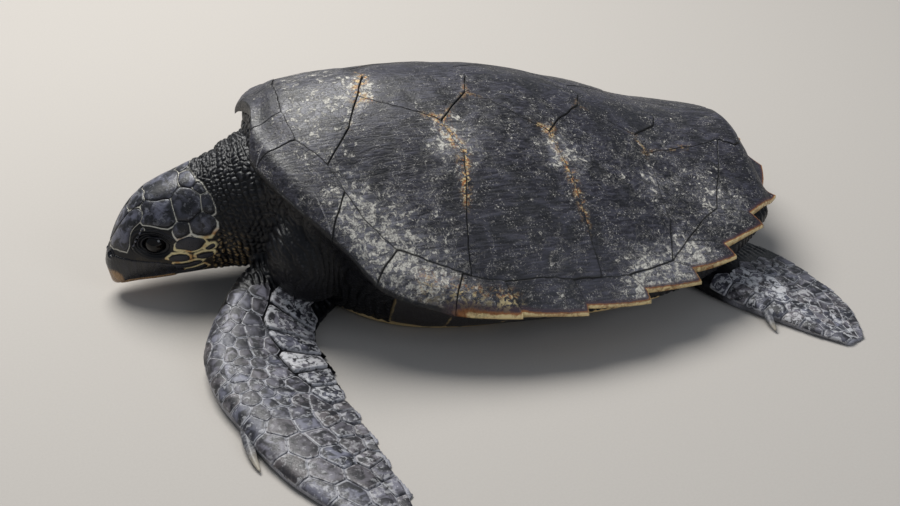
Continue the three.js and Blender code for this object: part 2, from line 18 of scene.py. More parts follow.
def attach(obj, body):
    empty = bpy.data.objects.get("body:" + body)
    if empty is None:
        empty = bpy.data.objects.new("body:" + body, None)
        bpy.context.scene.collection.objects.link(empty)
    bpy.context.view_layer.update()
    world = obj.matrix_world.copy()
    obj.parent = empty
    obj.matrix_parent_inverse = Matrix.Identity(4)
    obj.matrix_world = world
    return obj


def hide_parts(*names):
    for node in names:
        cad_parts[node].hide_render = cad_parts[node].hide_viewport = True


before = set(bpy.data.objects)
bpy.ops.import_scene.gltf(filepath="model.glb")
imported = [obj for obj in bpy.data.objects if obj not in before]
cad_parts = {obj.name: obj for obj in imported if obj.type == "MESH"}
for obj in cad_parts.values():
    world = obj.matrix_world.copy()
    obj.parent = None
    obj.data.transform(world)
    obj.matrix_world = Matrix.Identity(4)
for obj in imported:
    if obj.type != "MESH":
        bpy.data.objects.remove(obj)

logging.basicConfig(level=logging.INFO, format="%(message)s")
log = logging.getLogger("turtle")

Array = np.ndarray
Material, Piece, Socket = bpy.types.Material, bpy.types.Object, bpy.types.NodeSocket
Points = list[tuple[float, ...]]
MM = 0.001


class Side(Enum):
    """A side of the animal, with the sign of Y there."""

    LEFT = -1
    RIGHT = 1

    @property
    def label(self) -> str:
        """The side's word in the names of nodes."""
        return self.name.lower()


class Growth(Enum):
    """The rows that the carapace's scutes grow in."""

    VERTEBRAL = "vertebral"
    COSTAL = "costal"
    MARGINAL = "marginal"


# ---- Numbers and fields ----


def smoothstep(values: Array, low: float, high: float) -> Array:
    """Eases from 0 at low to 1 at high.

    Args:
        values: What is eased.
        low: Value that gives 0.
        high: Value that gives 1.

    Returns:
        The eased share of each value.
    """
    share = np.clip((np.asarray(values, float) - low) / (high - low), 0, 1)
    return share * share * (3 - 2 * share)


def curve(points: Points, x: Array) -> Array:
    """A smooth curve through pairs that never overshoots them.

    Args:
        points: Pairs of place and value, in order.
        x: Places to read the curve at.

    Returns:
        The value at each place.
    """
    place, value = np.asarray(points, float).T
    x = np.clip(np.asarray(x, float), place[0], place[-1])
    span, rise = np.diff(place), np.diff(value)
    secant = rise / span
    slope = np.empty(len(place))
    slope[0], slope[-1] = secant[0], secant[-1]
    before, after = secant[:-1], secant[1:]
    total = np.where(before * after > 0, before + after, 1)
    slope[1:-1] = np.where(before * after > 0, 2 * before * after / total, 0)
    i = np.clip(np.searchsorted(place, x, side="right") - 1, 0, len(place) - 2)
    u = (x - place[i]) / span[i]
    ends = u * (1 - u) ** 2 * slope[i] + u * u * (u - 1) * slope[i + 1]
    return value[i] + rise[i] * u * u * (3 - 2 * u) + ends * span[i]


def scattered(cells: Array, salt: int) -> Array:
    """A repeatable random number for each lattice cell.

    Args:
        cells: Whole-number places, one row each.
        salt: Picks one of many patterns.

    Returns:
        A number from 0 to 1 for each row.
    """
    mixed = np.full(len(cells), salt * 2654435761 + 12345, np.uint64)
    for axis, prime in zip(range(cells.shape[1]), (73856093, 19349663, 83492791)):
        mixed ^= (cells[:, axis].astype(np.int64) * prime).astype(np.uint64)
        mixed = (mixed ^ (mixed >> np.uint64(29))) * np.uint64(0xBF58476D1CE4E5B9)
    return ((mixed >> np.uint64(40)) & np.uint64(0xFFFF)).astype(float) / 0xFFFF


def noise(points: Array, size: float, salt: int = 0, octaves: int = 2) -> Array:
    """Smooth value noise.

    Args:
        points: Places, one row each.
        size: Width of the largest lumps, in the points' unit.
        salt: Picks one of many patterns.
        octaves: How many layers, each half as wide as the last.

    Returns:
        A number from about -1 to 1 for each place.
    """
    total, weight = np.zeros(len(points)), 0.0
    for layer in range(octaves):
        q = points / size * 2**layer + 31.7 * (layer + 1) + salt * 7.31
        base = np.floor(q).astype(np.int64)
        f = q - base
        f = f * f * (3 - 2 * f)
        for corner in product((0, 1), repeat=points.shape[1]):
            share = np.prod(np.where(corner, f, 1 - f), axis=1)
            total += share * (scattered(base + corner, salt + layer) * 2 - 1) / 2**layer
        weight += 1 / 2**layer
    return total / weight


def cobbles(points: Array, salt: int, jitter: float = 0.75) -> tuple[Array, Array]:
    """Rounded cells on a jittered lattice of unit size.

    Args:
        points: Places, one row each, in cells.
        salt: Picks one of many patterns.
        jitter: How far a cell's middle may stray from its lattice place.

    Returns:
        How far each place is from the edge of its cell, and a random number for its cell.
    """
    base = np.floor(points).astype(np.int64)
    first = np.full(len(points), 9.0)
    second, owner = first.copy(), np.zeros(len(points))
    for step in product((-1, 0, 1), repeat=points.shape[1]):
        cell = base + step
        middle = cell + 0.5
        for axis in range(points.shape[1]):
            middle[:, axis] += jitter * (scattered(cell, salt + 11 * axis) - 0.5)
        reach = np.linalg.norm(points - middle, axis=1)
        closer = reach < first
        second = np.where(closer, first, np.minimum(second, reach))
        owner = np.where(closer, scattered(cell, salt + 97), owner)
        first = np.where(closer, reach, first)
    return (second - first) / 2, owner


def distance_to_line(points: Array, line: Array, closed: bool = False) -> Array:
    """Distance from plan points to a line of straight pieces.

    Args:
        points: Plan points, one row each.
        line: The line's corners.
        closed: Whether the last corner joins the first.

    Returns:
        The distance of each point.
    """
    ends = np.roll(line, -1, axis=0) if closed else line[1:]
    starts = line if closed else line[:-1]
    best = np.full(len(points), 1e9)
    for a, b in zip(starts, ends):
        way = b - a
        share = np.clip((points - a) @ way / max(way @ way, 1e-9), 0, 1)
        best = np.minimum(best, np.linalg.norm(points - a - share[:, None] * way, axis=1))
    return best


def bell(values: Array, width: float) -> Array:
    """A bell curve: 1 at zero, fading within about twice the width."""
    return np.exp(-((values / width) ** 2))


def unit(vectors: Array) -> Array:
    """Vectors drawn to a length of one."""
    return vectors / np.linalg.norm(vectors, axis=-1, keepdims=True)


def around(count: int) -> Array:
    """Angles at even steps of a full turn."""
    return np.arange(count) * 2 * math.pi / count


# ---- Meshes ----


@dataclass
class Shape:
    """A mesh while it is worked on, in millimetres, with the fields that its finish reads."""

    corners: Array
    faces: list
    fields: dict = field(default_factory=dict)
    unwrap: Array | None = None

    def piece(self, name: str, material: Material, slot: str, nodes: list[str]) -> Piece:
        """Makes the mesh a piece that rides on the model.

        Args:
            name: Name of the piece.
            material: Its finish.
            slot: Material slot of the record that it takes; not used.
            nodes: Solids that it stands for.

        Returns:
            The piece.
        """
        mesh = bpy.data.meshes.new(name)
        mesh.from_pydata((self.corners * MM).tolist(), [], self.faces)
        mesh.validate()
        mesh.polygons.foreach_set("use_smooth", np.ones(len(mesh.polygons), bool))
        for key, values in self.fields.items():
            layer = mesh.attributes.new(key, "FLOAT", "POINT")
            layer.data.foreach_set("value", np.asarray(values, np.float32))
        if self.unwrap is not None:
            layer = mesh.uv_layers.new(name="OFBake")
            corner_of = np.zeros(len(mesh.loops), np.int32)
            mesh.loops.foreach_get("vertex_index", corner_of)
            layer.data.foreach_set("uv", self.unwrap[corner_of].astype(np.float32).ravel())
        mesh.materials.append(material)
        made = bpy.data.objects.new(name, mesh)
        bpy.context.scene.collection.objects.link(made)
        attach(made, "root")
        if nodes:
            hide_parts(*nodes)
        log.info("%s: %d faces", name, len(mesh.polygons))
        return made


def merged(shapes: list[Shape]) -> Shape:
    """Joins shapes that have the same fields into one.

    Args:
        shapes: Shapes.

    Returns:
        The joined shape.
    """
    faces, start = [], 0
    for shape in shapes:
        faces += [[i + start for i in face] for face in shape.faces]
        start += len(shape.corners)
    keys = shapes[0].fields
    fields = {key: np.concatenate([shape.fields[key] for shape in shapes]) for key in keys}
    unwrap = None if shapes[0].unwrap is None else np.concatenate([shape.unwrap for shape in shapes])
    return Shape(np.concatenate([shape.corners for shape in shapes]), faces, fields, unwrap)


def loft_faces(rings: int, sides: int, capped: bool = True) -> list:
    """Faces over rings of corners that lie one after another.

    Args:
        rings: How many rings.
        sides: Corners of each ring.
        capped: Whether each end gets one face.

    Returns:
        Lists of corner numbers.
    """
    faces = []
    for r in range(rings - 1):
        for k in range(sides):
            after = (k + 1) % sides
            faces.append([r * sides + k, r * sides + after, (r + 1) * sides + after, (r + 1) * sides + k])
    if capped:
        faces.append(list(range(sides))[::-1])
        faces.append([(rings - 1) * sides + k for k in range(sides)])
    return faces


def turned_out(shape: Shape) -> Shape:
    """Turns a closed shape's faces so that they all look outwards.

    Args:
        shape: A closed shape.

    Returns:
        The same shape.
    """
    mesh = bmesh.new()
    made = [mesh.verts.new(corner) for corner in shape.corners]
    for face in shape.faces:
        mesh.faces.new([made[i] for i in face])
    bmesh.ops.recalc_face_normals(mesh, faces=mesh.faces)
    mesh.verts.index_update()
    shape.faces = [[v.index for v in face.verts] for face in mesh.faces]
    mesh.free()
    return shape


def lofted(rings: Array, fields: dict | None = None) -> Shape:
    """A closed shape over rings of corners."""
    return turned_out(Shape(rings.reshape(-1, 3), loft_faces(*rings.shape[:2]), fields or {}))


# ---- Nodes ----


def linear(code: str) -> tuple[float, float, float, float]:
    """An sRGB hex colour as the linear colour that a node takes.

    Args:
        code: Colour such as #a0a0a0.

    Returns:
        Red, green, blue and alpha.
    """
    parts = [int(code[i : i + 2], 16) / 255 for i in (1, 3, 5)]
    r, g, b = (c / 12.92 if c <= 0.04045 else ((c + 0.055) / 1.055) ** 2.4 for c in parts)
    return (r, g, b, 1.0)


class Kind(Enum):
    """The kinds of node: type name without its ShaderNode prefix, settings, and the output that is read."""

    EASE = ("MapRange", {"interpolation_type": "SMOOTHSTEP"})  # value, from low, from high, to low, to high
    MIX = ("Mix", {"data_type": "RGBA"})  # share, colour below, colour above
    TIMES = ("Math", {"operation": "MULTIPLY"})
    PLUS = ("Math", {"operation": "ADD"})
    MINUS = ("Math", {"operation": "SUBTRACT"})
    AMOUNT = ("Math", {"operation": "ABSOLUTE"})
    LARGER = ("Math", {"operation": "MAXIMUM"})
    NOISE = ("TexNoise", {})
    MAPPED = ("Mapping", {})
    PLACE = ("TexCoord", {}, "Object")
    FIELD = ("Attribute", {}, "Fac")
    BUMP = ("Bump", {})
    SHADER = ("BsdfPrincipled", {})
    SURFACE = ("OutputMaterial", {})


EASE, MIX, TIMES, PLUS, MINUS, AMOUNT, LARGER, NOISE, MAPPED, PLACE, FIELD, BUMP, SHADER, SURFACE = Kind


def add_node(material: Material, kind: Kind, *values: object, **named: object) -> Socket:
    """Adds a node with its settings and links.

    Args:
        material: Finish that it belongs to.
        kind: What the node is.
        *values: What its shown inputs take, in order: a socket, a number, or an sRGB hex colour.
        **named: Further settings, and what other inputs take, with an underscore for a space.

    Returns:
        Its output, where it has one.
    """
    word, settings, *output = kind.value
    node = material.node_tree.nodes.new("ShaderNode" + word)
    for key, value in settings.items():
        setattr(node, key, value)
    taken = list(zip((socket for socket in node.inputs if socket.enabled), values))
    for key, value in named.items():
        if hasattr(node, key):
            setattr(node, key, value)
        else:
            taken.append((node.inputs[key.replace("_", " ")], value))
    for socket, value in taken:
        if isinstance(value, Socket):
            material.node_tree.links.new(value, socket)
        else:
            socket.default_value = linear(value) if isinstance(value, str) else value
    return node.outputs[output[0]] if output else next((out for out in node.outputs if out.enabled), None)


@dataclass(frozen=True)
class Finish:
    """What every finish has: its name, how much light it bends, and how it starts and ends."""

    name: str = "finish"
    ior: float = 1.5

    def start(self, *fields: str) -> tuple:
        """Makes the empty material.

        Args:
            *fields: Names of the mesh's fields that the finish reads.

        Returns:
            What adds a node to the material, the place in metres, so that noise with a Scale of 1000 / w
            has lumps w millimetres wide, and the value of each field.
        """
        material = bpy.data.materials.new(self.name)
        material.use_nodes = True
        material.node_tree.nodes.clear()
        add = partial(add_node, material)
        read = [add(FIELD, attribute_name=key) for key in fields]
        return add, add(PLACE), *read

    def close(self, add: Callable, colour: object, roughness: object, relief: list) -> Material:
        """Ends the material in its shader.

        Args:
            add: What adds a node to the material.
            colour: Base colour.
            roughness: Roughness, a value or a socket.
            relief: Heights from 0 to 1, each with its depth in millimetres.

        Returns:
            The finished material.
        """
        bumps = {}
        for height, depth in relief:
            bumps = {"Normal": add(BUMP, Height=height, Distance=depth * MM, Strength=1.0, **bumps)}
        shader = add(SHADER, Base_Color=colour, Roughness=roughness, IOR=self.ior, **bumps)
        add(SURFACE, Surface=shader)
        return add.args[0]


@dataclass(frozen=True)
class WeatheredHorn(Finish):
    """Keratin of the scutes, grown in layers, scoured by sand: violet-black, chalky crusts, ochre splits."""

    name: str = "keratin_grown_and_sand_scoured"
    roughness: float = 0.44
    dark: str = "#0d0c11"
    body: str = "#201e27"
    bloom_and_sheen: str = "#494956"
    scuffed: str = "#d2cec3"
    ochre: str = "#a3622a"
    cream: str = "#d9c48f"
    fibre_width: float = 3.0  # the horn's fibres, drawn ten times their width so that they show
    mottle_width: float = 38.0
    patch_width: float = 24.0
    crust_width: float = 8.5
    crumb_width: float = 7.0
    speck_width: float = 2.2
    crust_limit: float = 0.665  # noise over this is crust where the horn is sound; scuffing lowers it
    thread_widths: tuple = ((26.0, 0.009), (14.0, 0.01))  # width of a web's mesh, share that a thread takes

    def make(self) -> Material:
        """Builds the finish.

        Returns:
            The material.
        """
        add, place, edge, scuff, warm, rim, own = self.start("edge", "scuff", "warm", "rim", "own")
        drawn_out = add(MAPPED, place, Scale=(0.16, 1, 1))
        fibres = add(NOISE, drawn_out, Scale=1000 / self.fibre_width, Detail=5, Distortion=0.4)
        mottle = add(NOISE, place, Scale=1000 / self.mottle_width, Detail=6, Distortion=0.8)
        specks = add(NOISE, place, Scale=1000 / self.speck_width, Detail=4)
        patches = add(NOISE, place, Scale=1000 / self.patch_width, Detail=6, Distortion=1.2)
        crust = add(NOISE, place, Scale=1000 / self.crust_width, Detail=9, Distortion=0.5, Roughness=0.72)
        colour = add(MIX, add(EASE, mottle, 0.36, 0.66), self.dark, self.body)
        # A bluish bloom lies in patches, drawn out along the fibres: partly the horn's own tone, partly a
        # painted sheen.
        bloom_and_sheen = add(TIMES, add(EASE, fibres, 0.38, 0.72), add(EASE, mottle, 0.4, 0.62, 0.25, 0.8))
        colour = add(MIX, bloom_and_sheen, colour, self.bloom_and_sheen)
        colour = add(MIX, add(TIMES, own, 0.2), colour, self.dark)
        flecks = add(TIMES, add(EASE, specks, 0.6, 0.65), add(EASE, patches, 0.4, 0.65, 0.05, 0.9))
        colour = add(MIX, flecks, colour, "#a19d98")
        # Crusts and threads of chalky white, where the top layer is rubbed through.
        bare = add(TIMES, add(PLUS, scuff, add(TIMES, add(MINUS, patches, 0.5), 1.6)), 0.13)
        over = add(MINUS, add(PLUS, crust, bare), self.crust_limit)
        worn = add(EASE, over, 0.0, 0.03)
        for width, line in self.thread_widths:
            veins = add(NOISE, place, Scale=1000 / width, Detail=7, Distortion=0.7, Roughness=0.62)
            threads = add(EASE, add(AMOUNT, add(MINUS, veins, 0.5)), 0.0, line, 1.0, 0.0)
            worn = add(LARGER, worn, add(TIMES, threads, add(EASE, bare, 0.02, 0.11, 0.05, 0.75)))
        # Grey powder where the horn is bare; on the front left rim, where the scuffs run strongest, it also
        # paints a highlight.
        powder_and_highlight = add(TIMES, add(EASE, bare, 0.05, 0.2, 0.0, 0.6), add(EASE, fibres, 0.35, 0.65, 0.3, 1.0))
        colour = add(MIX, powder_and_highlight, colour, "#9a99a1")
        chalk = add(MIX, add(EASE, specks, 0.38, 0.6), "#8f8b86", self.scuffed)
        colour = add(MIX, add(TIMES, worn, 0.9), colour, chalk)
        # Ochre crumbs stay where a scute has split from its neighbour.
        crumbs = add(NOISE, place, Scale=1000 / self.crumb_width, Detail=8, Distortion=0.5, Roughness=0.7)
        rust = add(TIMES, add(EASE, crumbs, 0.48, 0.56), add(EASE, warm, 0.15, 0.7))
        paler = add(PLUS, specks, add(TIMES, rim, 0.5))
        colour = add(MIX, rust, colour, add(MIX, add(EASE, paler, 0.4, 0.6), self.ochre, self.cream))
        # The rim is thin enough to let light through: purple-brown, then amber, then cream at its very edge.
        thin = add(PLUS, rim, add(TIMES, add(MINUS, crust, 0.5), 0.35))
        colour = add(MIX, add(EASE, thin, 0.4, 0.7, 0.0, 0.8), colour, "#3d2832")
        colour = add(MIX, add(EASE, thin, 0.74, 0.9), colour, "#8f5a2c")
        colour = add(MIX, add(EASE, thin, 0.9, 1.0), colour, "#ead29a")
        split = add(EASE, edge, 0.006, 0.024, 0.9, 0.0)
        split = add(TIMES, split, add(EASE, rim, 0.5, 0.8, 1.0, 0.0))
        colour = add(MIX, split, colour, "#070608")
        rough = add(EASE, fibres, 0.3, 0.7, self.roughness - 0.1, self.roughness + 0.12)
        rough = add(PLUS, rough, add(TIMES, worn, 0.3))
        return self.close(add, colour, rough, [(mottle, 1.6), (fibres, 0.7), (specks, 0.35), (worn, 0.5)])


@dataclass(frozen=True)
class PlastronHorn(Finish):
    """Keratin of the underside, smooth and little worn: cream yellow, with smoky blotches, and dark painted
    shade over most of the bridges.
    """

    name: str = "keratin_cream_and_smooth"

    def make(self) -> Material:
        """Builds the finish.

        Returns:
            The material.
        """
        add, place, dark, edge = self.start("dark", "edge")
        mottle = add(NOISE, place, Scale=1000 / 30, Detail=6, Distortion=0.6)
        colour = add(MIX, mottle, "#b8955a", "#e0cc9c")
        # The dark field brings smoky blotches, and on the bridges painted shade.
        smoke_and_shade = add(PLUS, dark, add(TIMES, add(MINUS, mottle, 0.5), 1.2))
        colour = add(MIX, add(EASE, smoke_and_shade, 0.45, 0.7), colour, "#211d1e")
        colour = add(MIX, add(EASE, edge, 0.0, 0.03, 0.7, 0.0), colour, "#3a2c1c")
        fine = add(NOISE, place, Scale=1000 / 2, Detail=4)
        return self.close(add, colour, add(EASE, fine, 0.3, 0.7, 0.38, 0.55), [(fine, 0.25), (mottle, 0.6)])


@dataclass(frozen=True)
class LeatheryHide(Finish):
    """Turtle hide, thick and folded into cobbles: near-black with painted shade in its creases and a painted
    highlight on its cobbles, golden low on the neck, partly as a painted highlight.
    """

    name: str = "reptile_hide_folded"
    ior: float = 1.4

    def make(self) -> Material:
        """Builds the finish.

        Returns:
            The material.
        """
        add, place, relief, warm, seam, own, pale = self.start("relief", "warm", "seam", "own", "pale")
        mottle = add(NOISE, place, Scale=1000 / 22, Detail=5)
        fine = add(NOISE, place, Scale=1000 / 1.8, Detail=4)
        # The height of the folds sets the colour: painted shade in the creases, a painted highlight where the
        # skin stands up.
        colour = add(MIX, relief, "#010104", "#101117")
        painted_highlight = add(TIMES, add(EASE, relief, 0.6, 1.0), add(EASE, mottle, 0.4, 0.7))
        colour = add(MIX, add(TIMES, painted_highlight, 0.5), colour, "#4c4b4f")
        # Low on the neck and on the cheeks the raised skin turns golden: partly its own colour, partly a
        # painted highlight.
        low_neck = add(EASE, add(PLUS, add(TIMES, own, 0.5), warm), 0.5, 1.5)
        gold_and_highlight = add(TIMES, low_neck, add(EASE, relief, 0.2, 0.8))
        colour = add(MIX, gold_and_highlight, colour, add(MIX, add(EASE, fine, 0.35, 0.65), "#4a371f", "#b79c6e"))
        yellow = add(MIX, add(EASE, mottle, 0.48, 0.62), "#e0cf9c", "#bd8440")
        yellowed = add(EASE, add(PLUS, warm, add(TIMES, add(MINUS, mottle, 0.5), 0.9)), 0.3, 0.8)
        lines = add(MIX, yellowed, "#dad6c9", yellow)
        colour = add(MIX, add(TIMES, seam, add(EASE, fine, 0.2, 0.5, 0.6, 1.0)), colour, lines)
        dusted = add(TIMES, pale, add(EASE, mottle, 0.3, 0.6, 0.3, 0.95))
        colour = add(MIX, add(TIMES, dusted, add(EASE, fine, 0.3, 0.6, 0.5, 1.0)), colour, "#a0a0a8")
        return self.close(add, colour, add(EASE, fine, 0.3, 0.7, 0.3, 0.52), [(fine, 0.3), (mottle, 0.4)])


@dataclass(frozen=True)
class ScaleHorn(Finish):
    """Thin horn of a scale, rubbed by sand: slate with a pale dusty tone towards its middle that is partly a
    painted sheen.
    """

    name: str = "keratin_scale_rubbed"
    roughness: float = 0.5
    dark: str = "#14151c"
    body: str = "#30323f"
    bloom_and_sheen: str = "#7b7c8b"
    dusty: str = "#cfcfd2"
    dust: float = 0.85
    lip: float = 0.8

    def make(self) -> Material:
        """Builds the finish.

        Returns:
            The material.
        """
        add, place, inner, own, scuff, warm = self.start("inner", "own", "scuff", "warm")
        mottle = add(NOISE, place, Scale=1000 / 15, Detail=6, Distortion=0.8)
        fine = add(NOISE, place, Scale=1000 / 1.7, Detail=4)
        frayed = add(NOISE, place, Scale=1000 / 6, Detail=5)
        colour = add(MIX, add(EASE, mottle, 0.34, 0.68), self.dark, self.body)
        # The scale pales towards its raised middle: partly its own tone, partly a painted sheen.
        cloud = add(TIMES, add(EASE, inner, 0.05, 0.6, 0.3, 1.0), add(EASE, mottle, 0.42, 0.62))
        cloud = add(TIMES, cloud, add(EASE, own, 0.0, 1.0, 0.0, 0.75))
        colour = add(MIX, cloud, colour, self.bloom_and_sheen)
        rubbed = add(TIMES, add(MINUS, scuff, 0.5), 0.16)
        crumbs = add(NOISE, place, Scale=1000 / 8, Detail=8, Distortion=0.5, Roughness=0.65)
        crumbs = add(EASE, add(PLUS, crumbs, rubbed), 0.52, 0.59)
        worn = add(TIMES, crumbs, add(TIMES, scuff, self.dust))
        colour = add(MIX, worn, colour, self.dusty)
        # The lip of a scale is frayed to a pale line.
        lip = add(TIMES, add(EASE, inner, 0.08, 0.22, self.lip, 0.0), add(EASE, frayed, 0.4, 0.56, 0.1, 1.0))
        colour = add(MIX, lip, colour, "#b1b1b6")
        lit = add(TIMES, warm, add(EASE, mottle, 0.35, 0.6))
        colour = add(MIX, lit, colour, "#8f7443")
        rough = add(EASE, fine, 0.3, 0.7, self.roughness - 0.1, self.roughness + 0.12)
        return self.close(add, colour, rough, [(fine, 0.25), (mottle, 0.5), (worn, 0.3)])


@dataclass(frozen=True)
class BeakHorn(Finish):
    """Keratin of the beak, polished by feeding: glossy black-brown, tan streaks at its edge and front."""

    name: str = "keratin_beak_polished"

    def make(self) -> Material:
        """Builds the finish.

        Returns:
            The material.
        """
        add, place, warm = self.start("warm")
        streaks = add(NOISE, add(MAPPED, place, Scale=(1, 1, 0.3)), Scale=1000 / 6, Detail=6, Distortion=0.6)
        fine = add(NOISE, place, Scale=1000 / 1.5, Detail=3)
        colour = add(MIX, add(EASE, streaks, 0.4, 0.7), "#05050a", "#15151f")
        share = add(EASE, add(PLUS, warm, add(TIMES, add(MINUS, streaks, 0.5), 0.6)), 0.35, 0.8)
        colour = add(MIX, share, colour, add(MIX, streaks, "#64401f", "#b08d61"))
        return self.close(add, colour, add(EASE, fine, 0.3, 0.7, 0.16, 0.32), [(streaks, 0.9), (fine, 0.2)])


@dataclass(frozen=True)
class ClawHorn(Finish):
    """Keratin of a claw, worn to layers: dusty grey, paler at its tip."""

    name: str = "keratin_claw_worn"
    roughness: float = 0.5

    def make(self) -> Material:
        """Builds the finish.

        Returns:
            The material.
        """
        add, place, along = self.start("along")
        streaks = add(NOISE, add(MAPPED, place, Scale=(1, 1, 0.5)), Scale=1000 / 4, Detail=5, Distortion=0.6)
        colour = add(MIX, add(EASE, streaks, 0.35, 0.7), "#35363c", "#77777b")
        colour = add(MIX, add(EASE, along, 0.5, 1.0, 0.0, 0.7), colour, "#b5ab97")
        return self.close(add, colour, self.roughness, [(streaks, 0.5)])


@dataclass(frozen=True)
class WetEye(Finish):
    """The eye's clear wet front over a black-brown iris: one sharp highlight."""

    name: str = "eye_wet_and_clear"
    ior: float = 1.376

    def make(self) -> Material:
        """Builds the finish.

        Returns:
            The material.
        """
        add, place, disc = self.start("disc")
        rays = add(NOISE, place, Scale=1000 / 1.2, Detail=4)
        iris = add(MIX, rays, "#080606", "#1a120c")
        colour = add(MIX, add(EASE, disc, 0.33, 0.4), "#020202", iris)
        colour = add(MIX, add(EASE, disc, 0.72, 0.82), colour, "#0a0909")
        return self.close(add, colour, add(EASE, rays, 0.0, 1.0, 0.04, 0.08), [(rays, 0.02)])


@dataclass(frozen=True)
class StudioPaper(Finish):
    """Matt paper roll: plain and pale, with a faint tooth."""

    name: str = "paper_roll_matt"
    roughness: float = 0.85

    def make(self) -> Material:
        """Builds the finish.

        Returns:
            The material.
        """
        add, place = self.start()
        tooth = add(NOISE, place, Scale=1000 / 3, Detail=3)
        colour = add(MIX, tooth, "#aaa59f", "#b1aca6")
        return self.close(add, colour, self.roughness, [(tooth, 0.05)])


# ---- Shell ----


@dataclass(frozen=True)
class ShellForm:
    """The carapace as one dome: sizes in millimetres, from the head at -X to the tail."""

    half_width: float = 290
    front_reach: float = 366
    rear_reach: float = 362
    nuchal_edge: float = 357
    nuchal_notch: float = 14
    nuchal_notch_width: float = 85
    cross_power: float = 1.77
    keel: tuple = (
        (-352, 238), (-300, 264), (-200, 272), (-63, 258), (85, 213), (200, 165), (262, 151), (298, 145),
        (312, 132), (326, 100), (362, 84),
    )
    rim: tuple = (
        (-352, 212), (-300, 180), (-262, 150), (-225, 108), (-182, 92), (-65, 73), (102, 64), (177, 64),
        (290, 81), (362, 86),
    )

    def width_at(self, x: Array) -> Array:
        """Half-width of the shell's plan at each place along it."""
        reach = np.where(x < 0, self.front_reach, self.rear_reach)
        return self.half_width * np.sqrt(np.maximum(0, 1 - (x / reach) ** 2))

    def across(self, x: Array, y: Array) -> Array:
        """Share of the half-width at each plan point."""
        return np.minimum(1, np.abs(y) / np.maximum(self.width_at(x), 20))

    def height(self, x: Array, y: Array) -> Array:
        """Height of the dome over each plan point."""
        rim = curve(self.rim, x)
        return rim + (curve(self.keel, x) - rim) * (1 - self.across(x, y) ** self.cross_power)

    def rim_point(self, degrees: float, inset: float = 0) -> tuple[float, float]:
        """A plan point on the rim.

        Args:
            degrees: Angle from the nuchal edge.
            inset: How far inside the rim.

        Returns:
            Its x and y, on the right side.
        """
        angle = math.radians(degrees)
        reach = self.front_reach if degrees < 90 else self.rear_reach
        x, y = -(reach - inset) * math.cos(angle), (self.half_width - inset) * math.sin(angle)
        notch = self.nuchal_notch * (1 - float(smoothstep(abs(y), 0, self.nuchal_notch_width)))
        return max(x, notch - self.nuchal_edge), y

    def from_rim(self, x: Array, y: Array) -> Array:
        """About how far inside the rim each plan point lies.

        Args:
            x: Plan places along the body.
            y: Plan places across it.

        Returns:
            Distances in millimetres.
        """
        reach = np.where(x < 0, self.front_reach, self.rear_reach)
        ring = (1 - np.sqrt((x / reach) ** 2 + (y / self.half_width) ** 2)) * self.half_width
        return np.minimum(ring, x + self.nuchal_edge)


def mirrored(points: Points) -> Points:
    """The same outline on the left side."""
    return [(x, -y) for x, y in points][::-1]


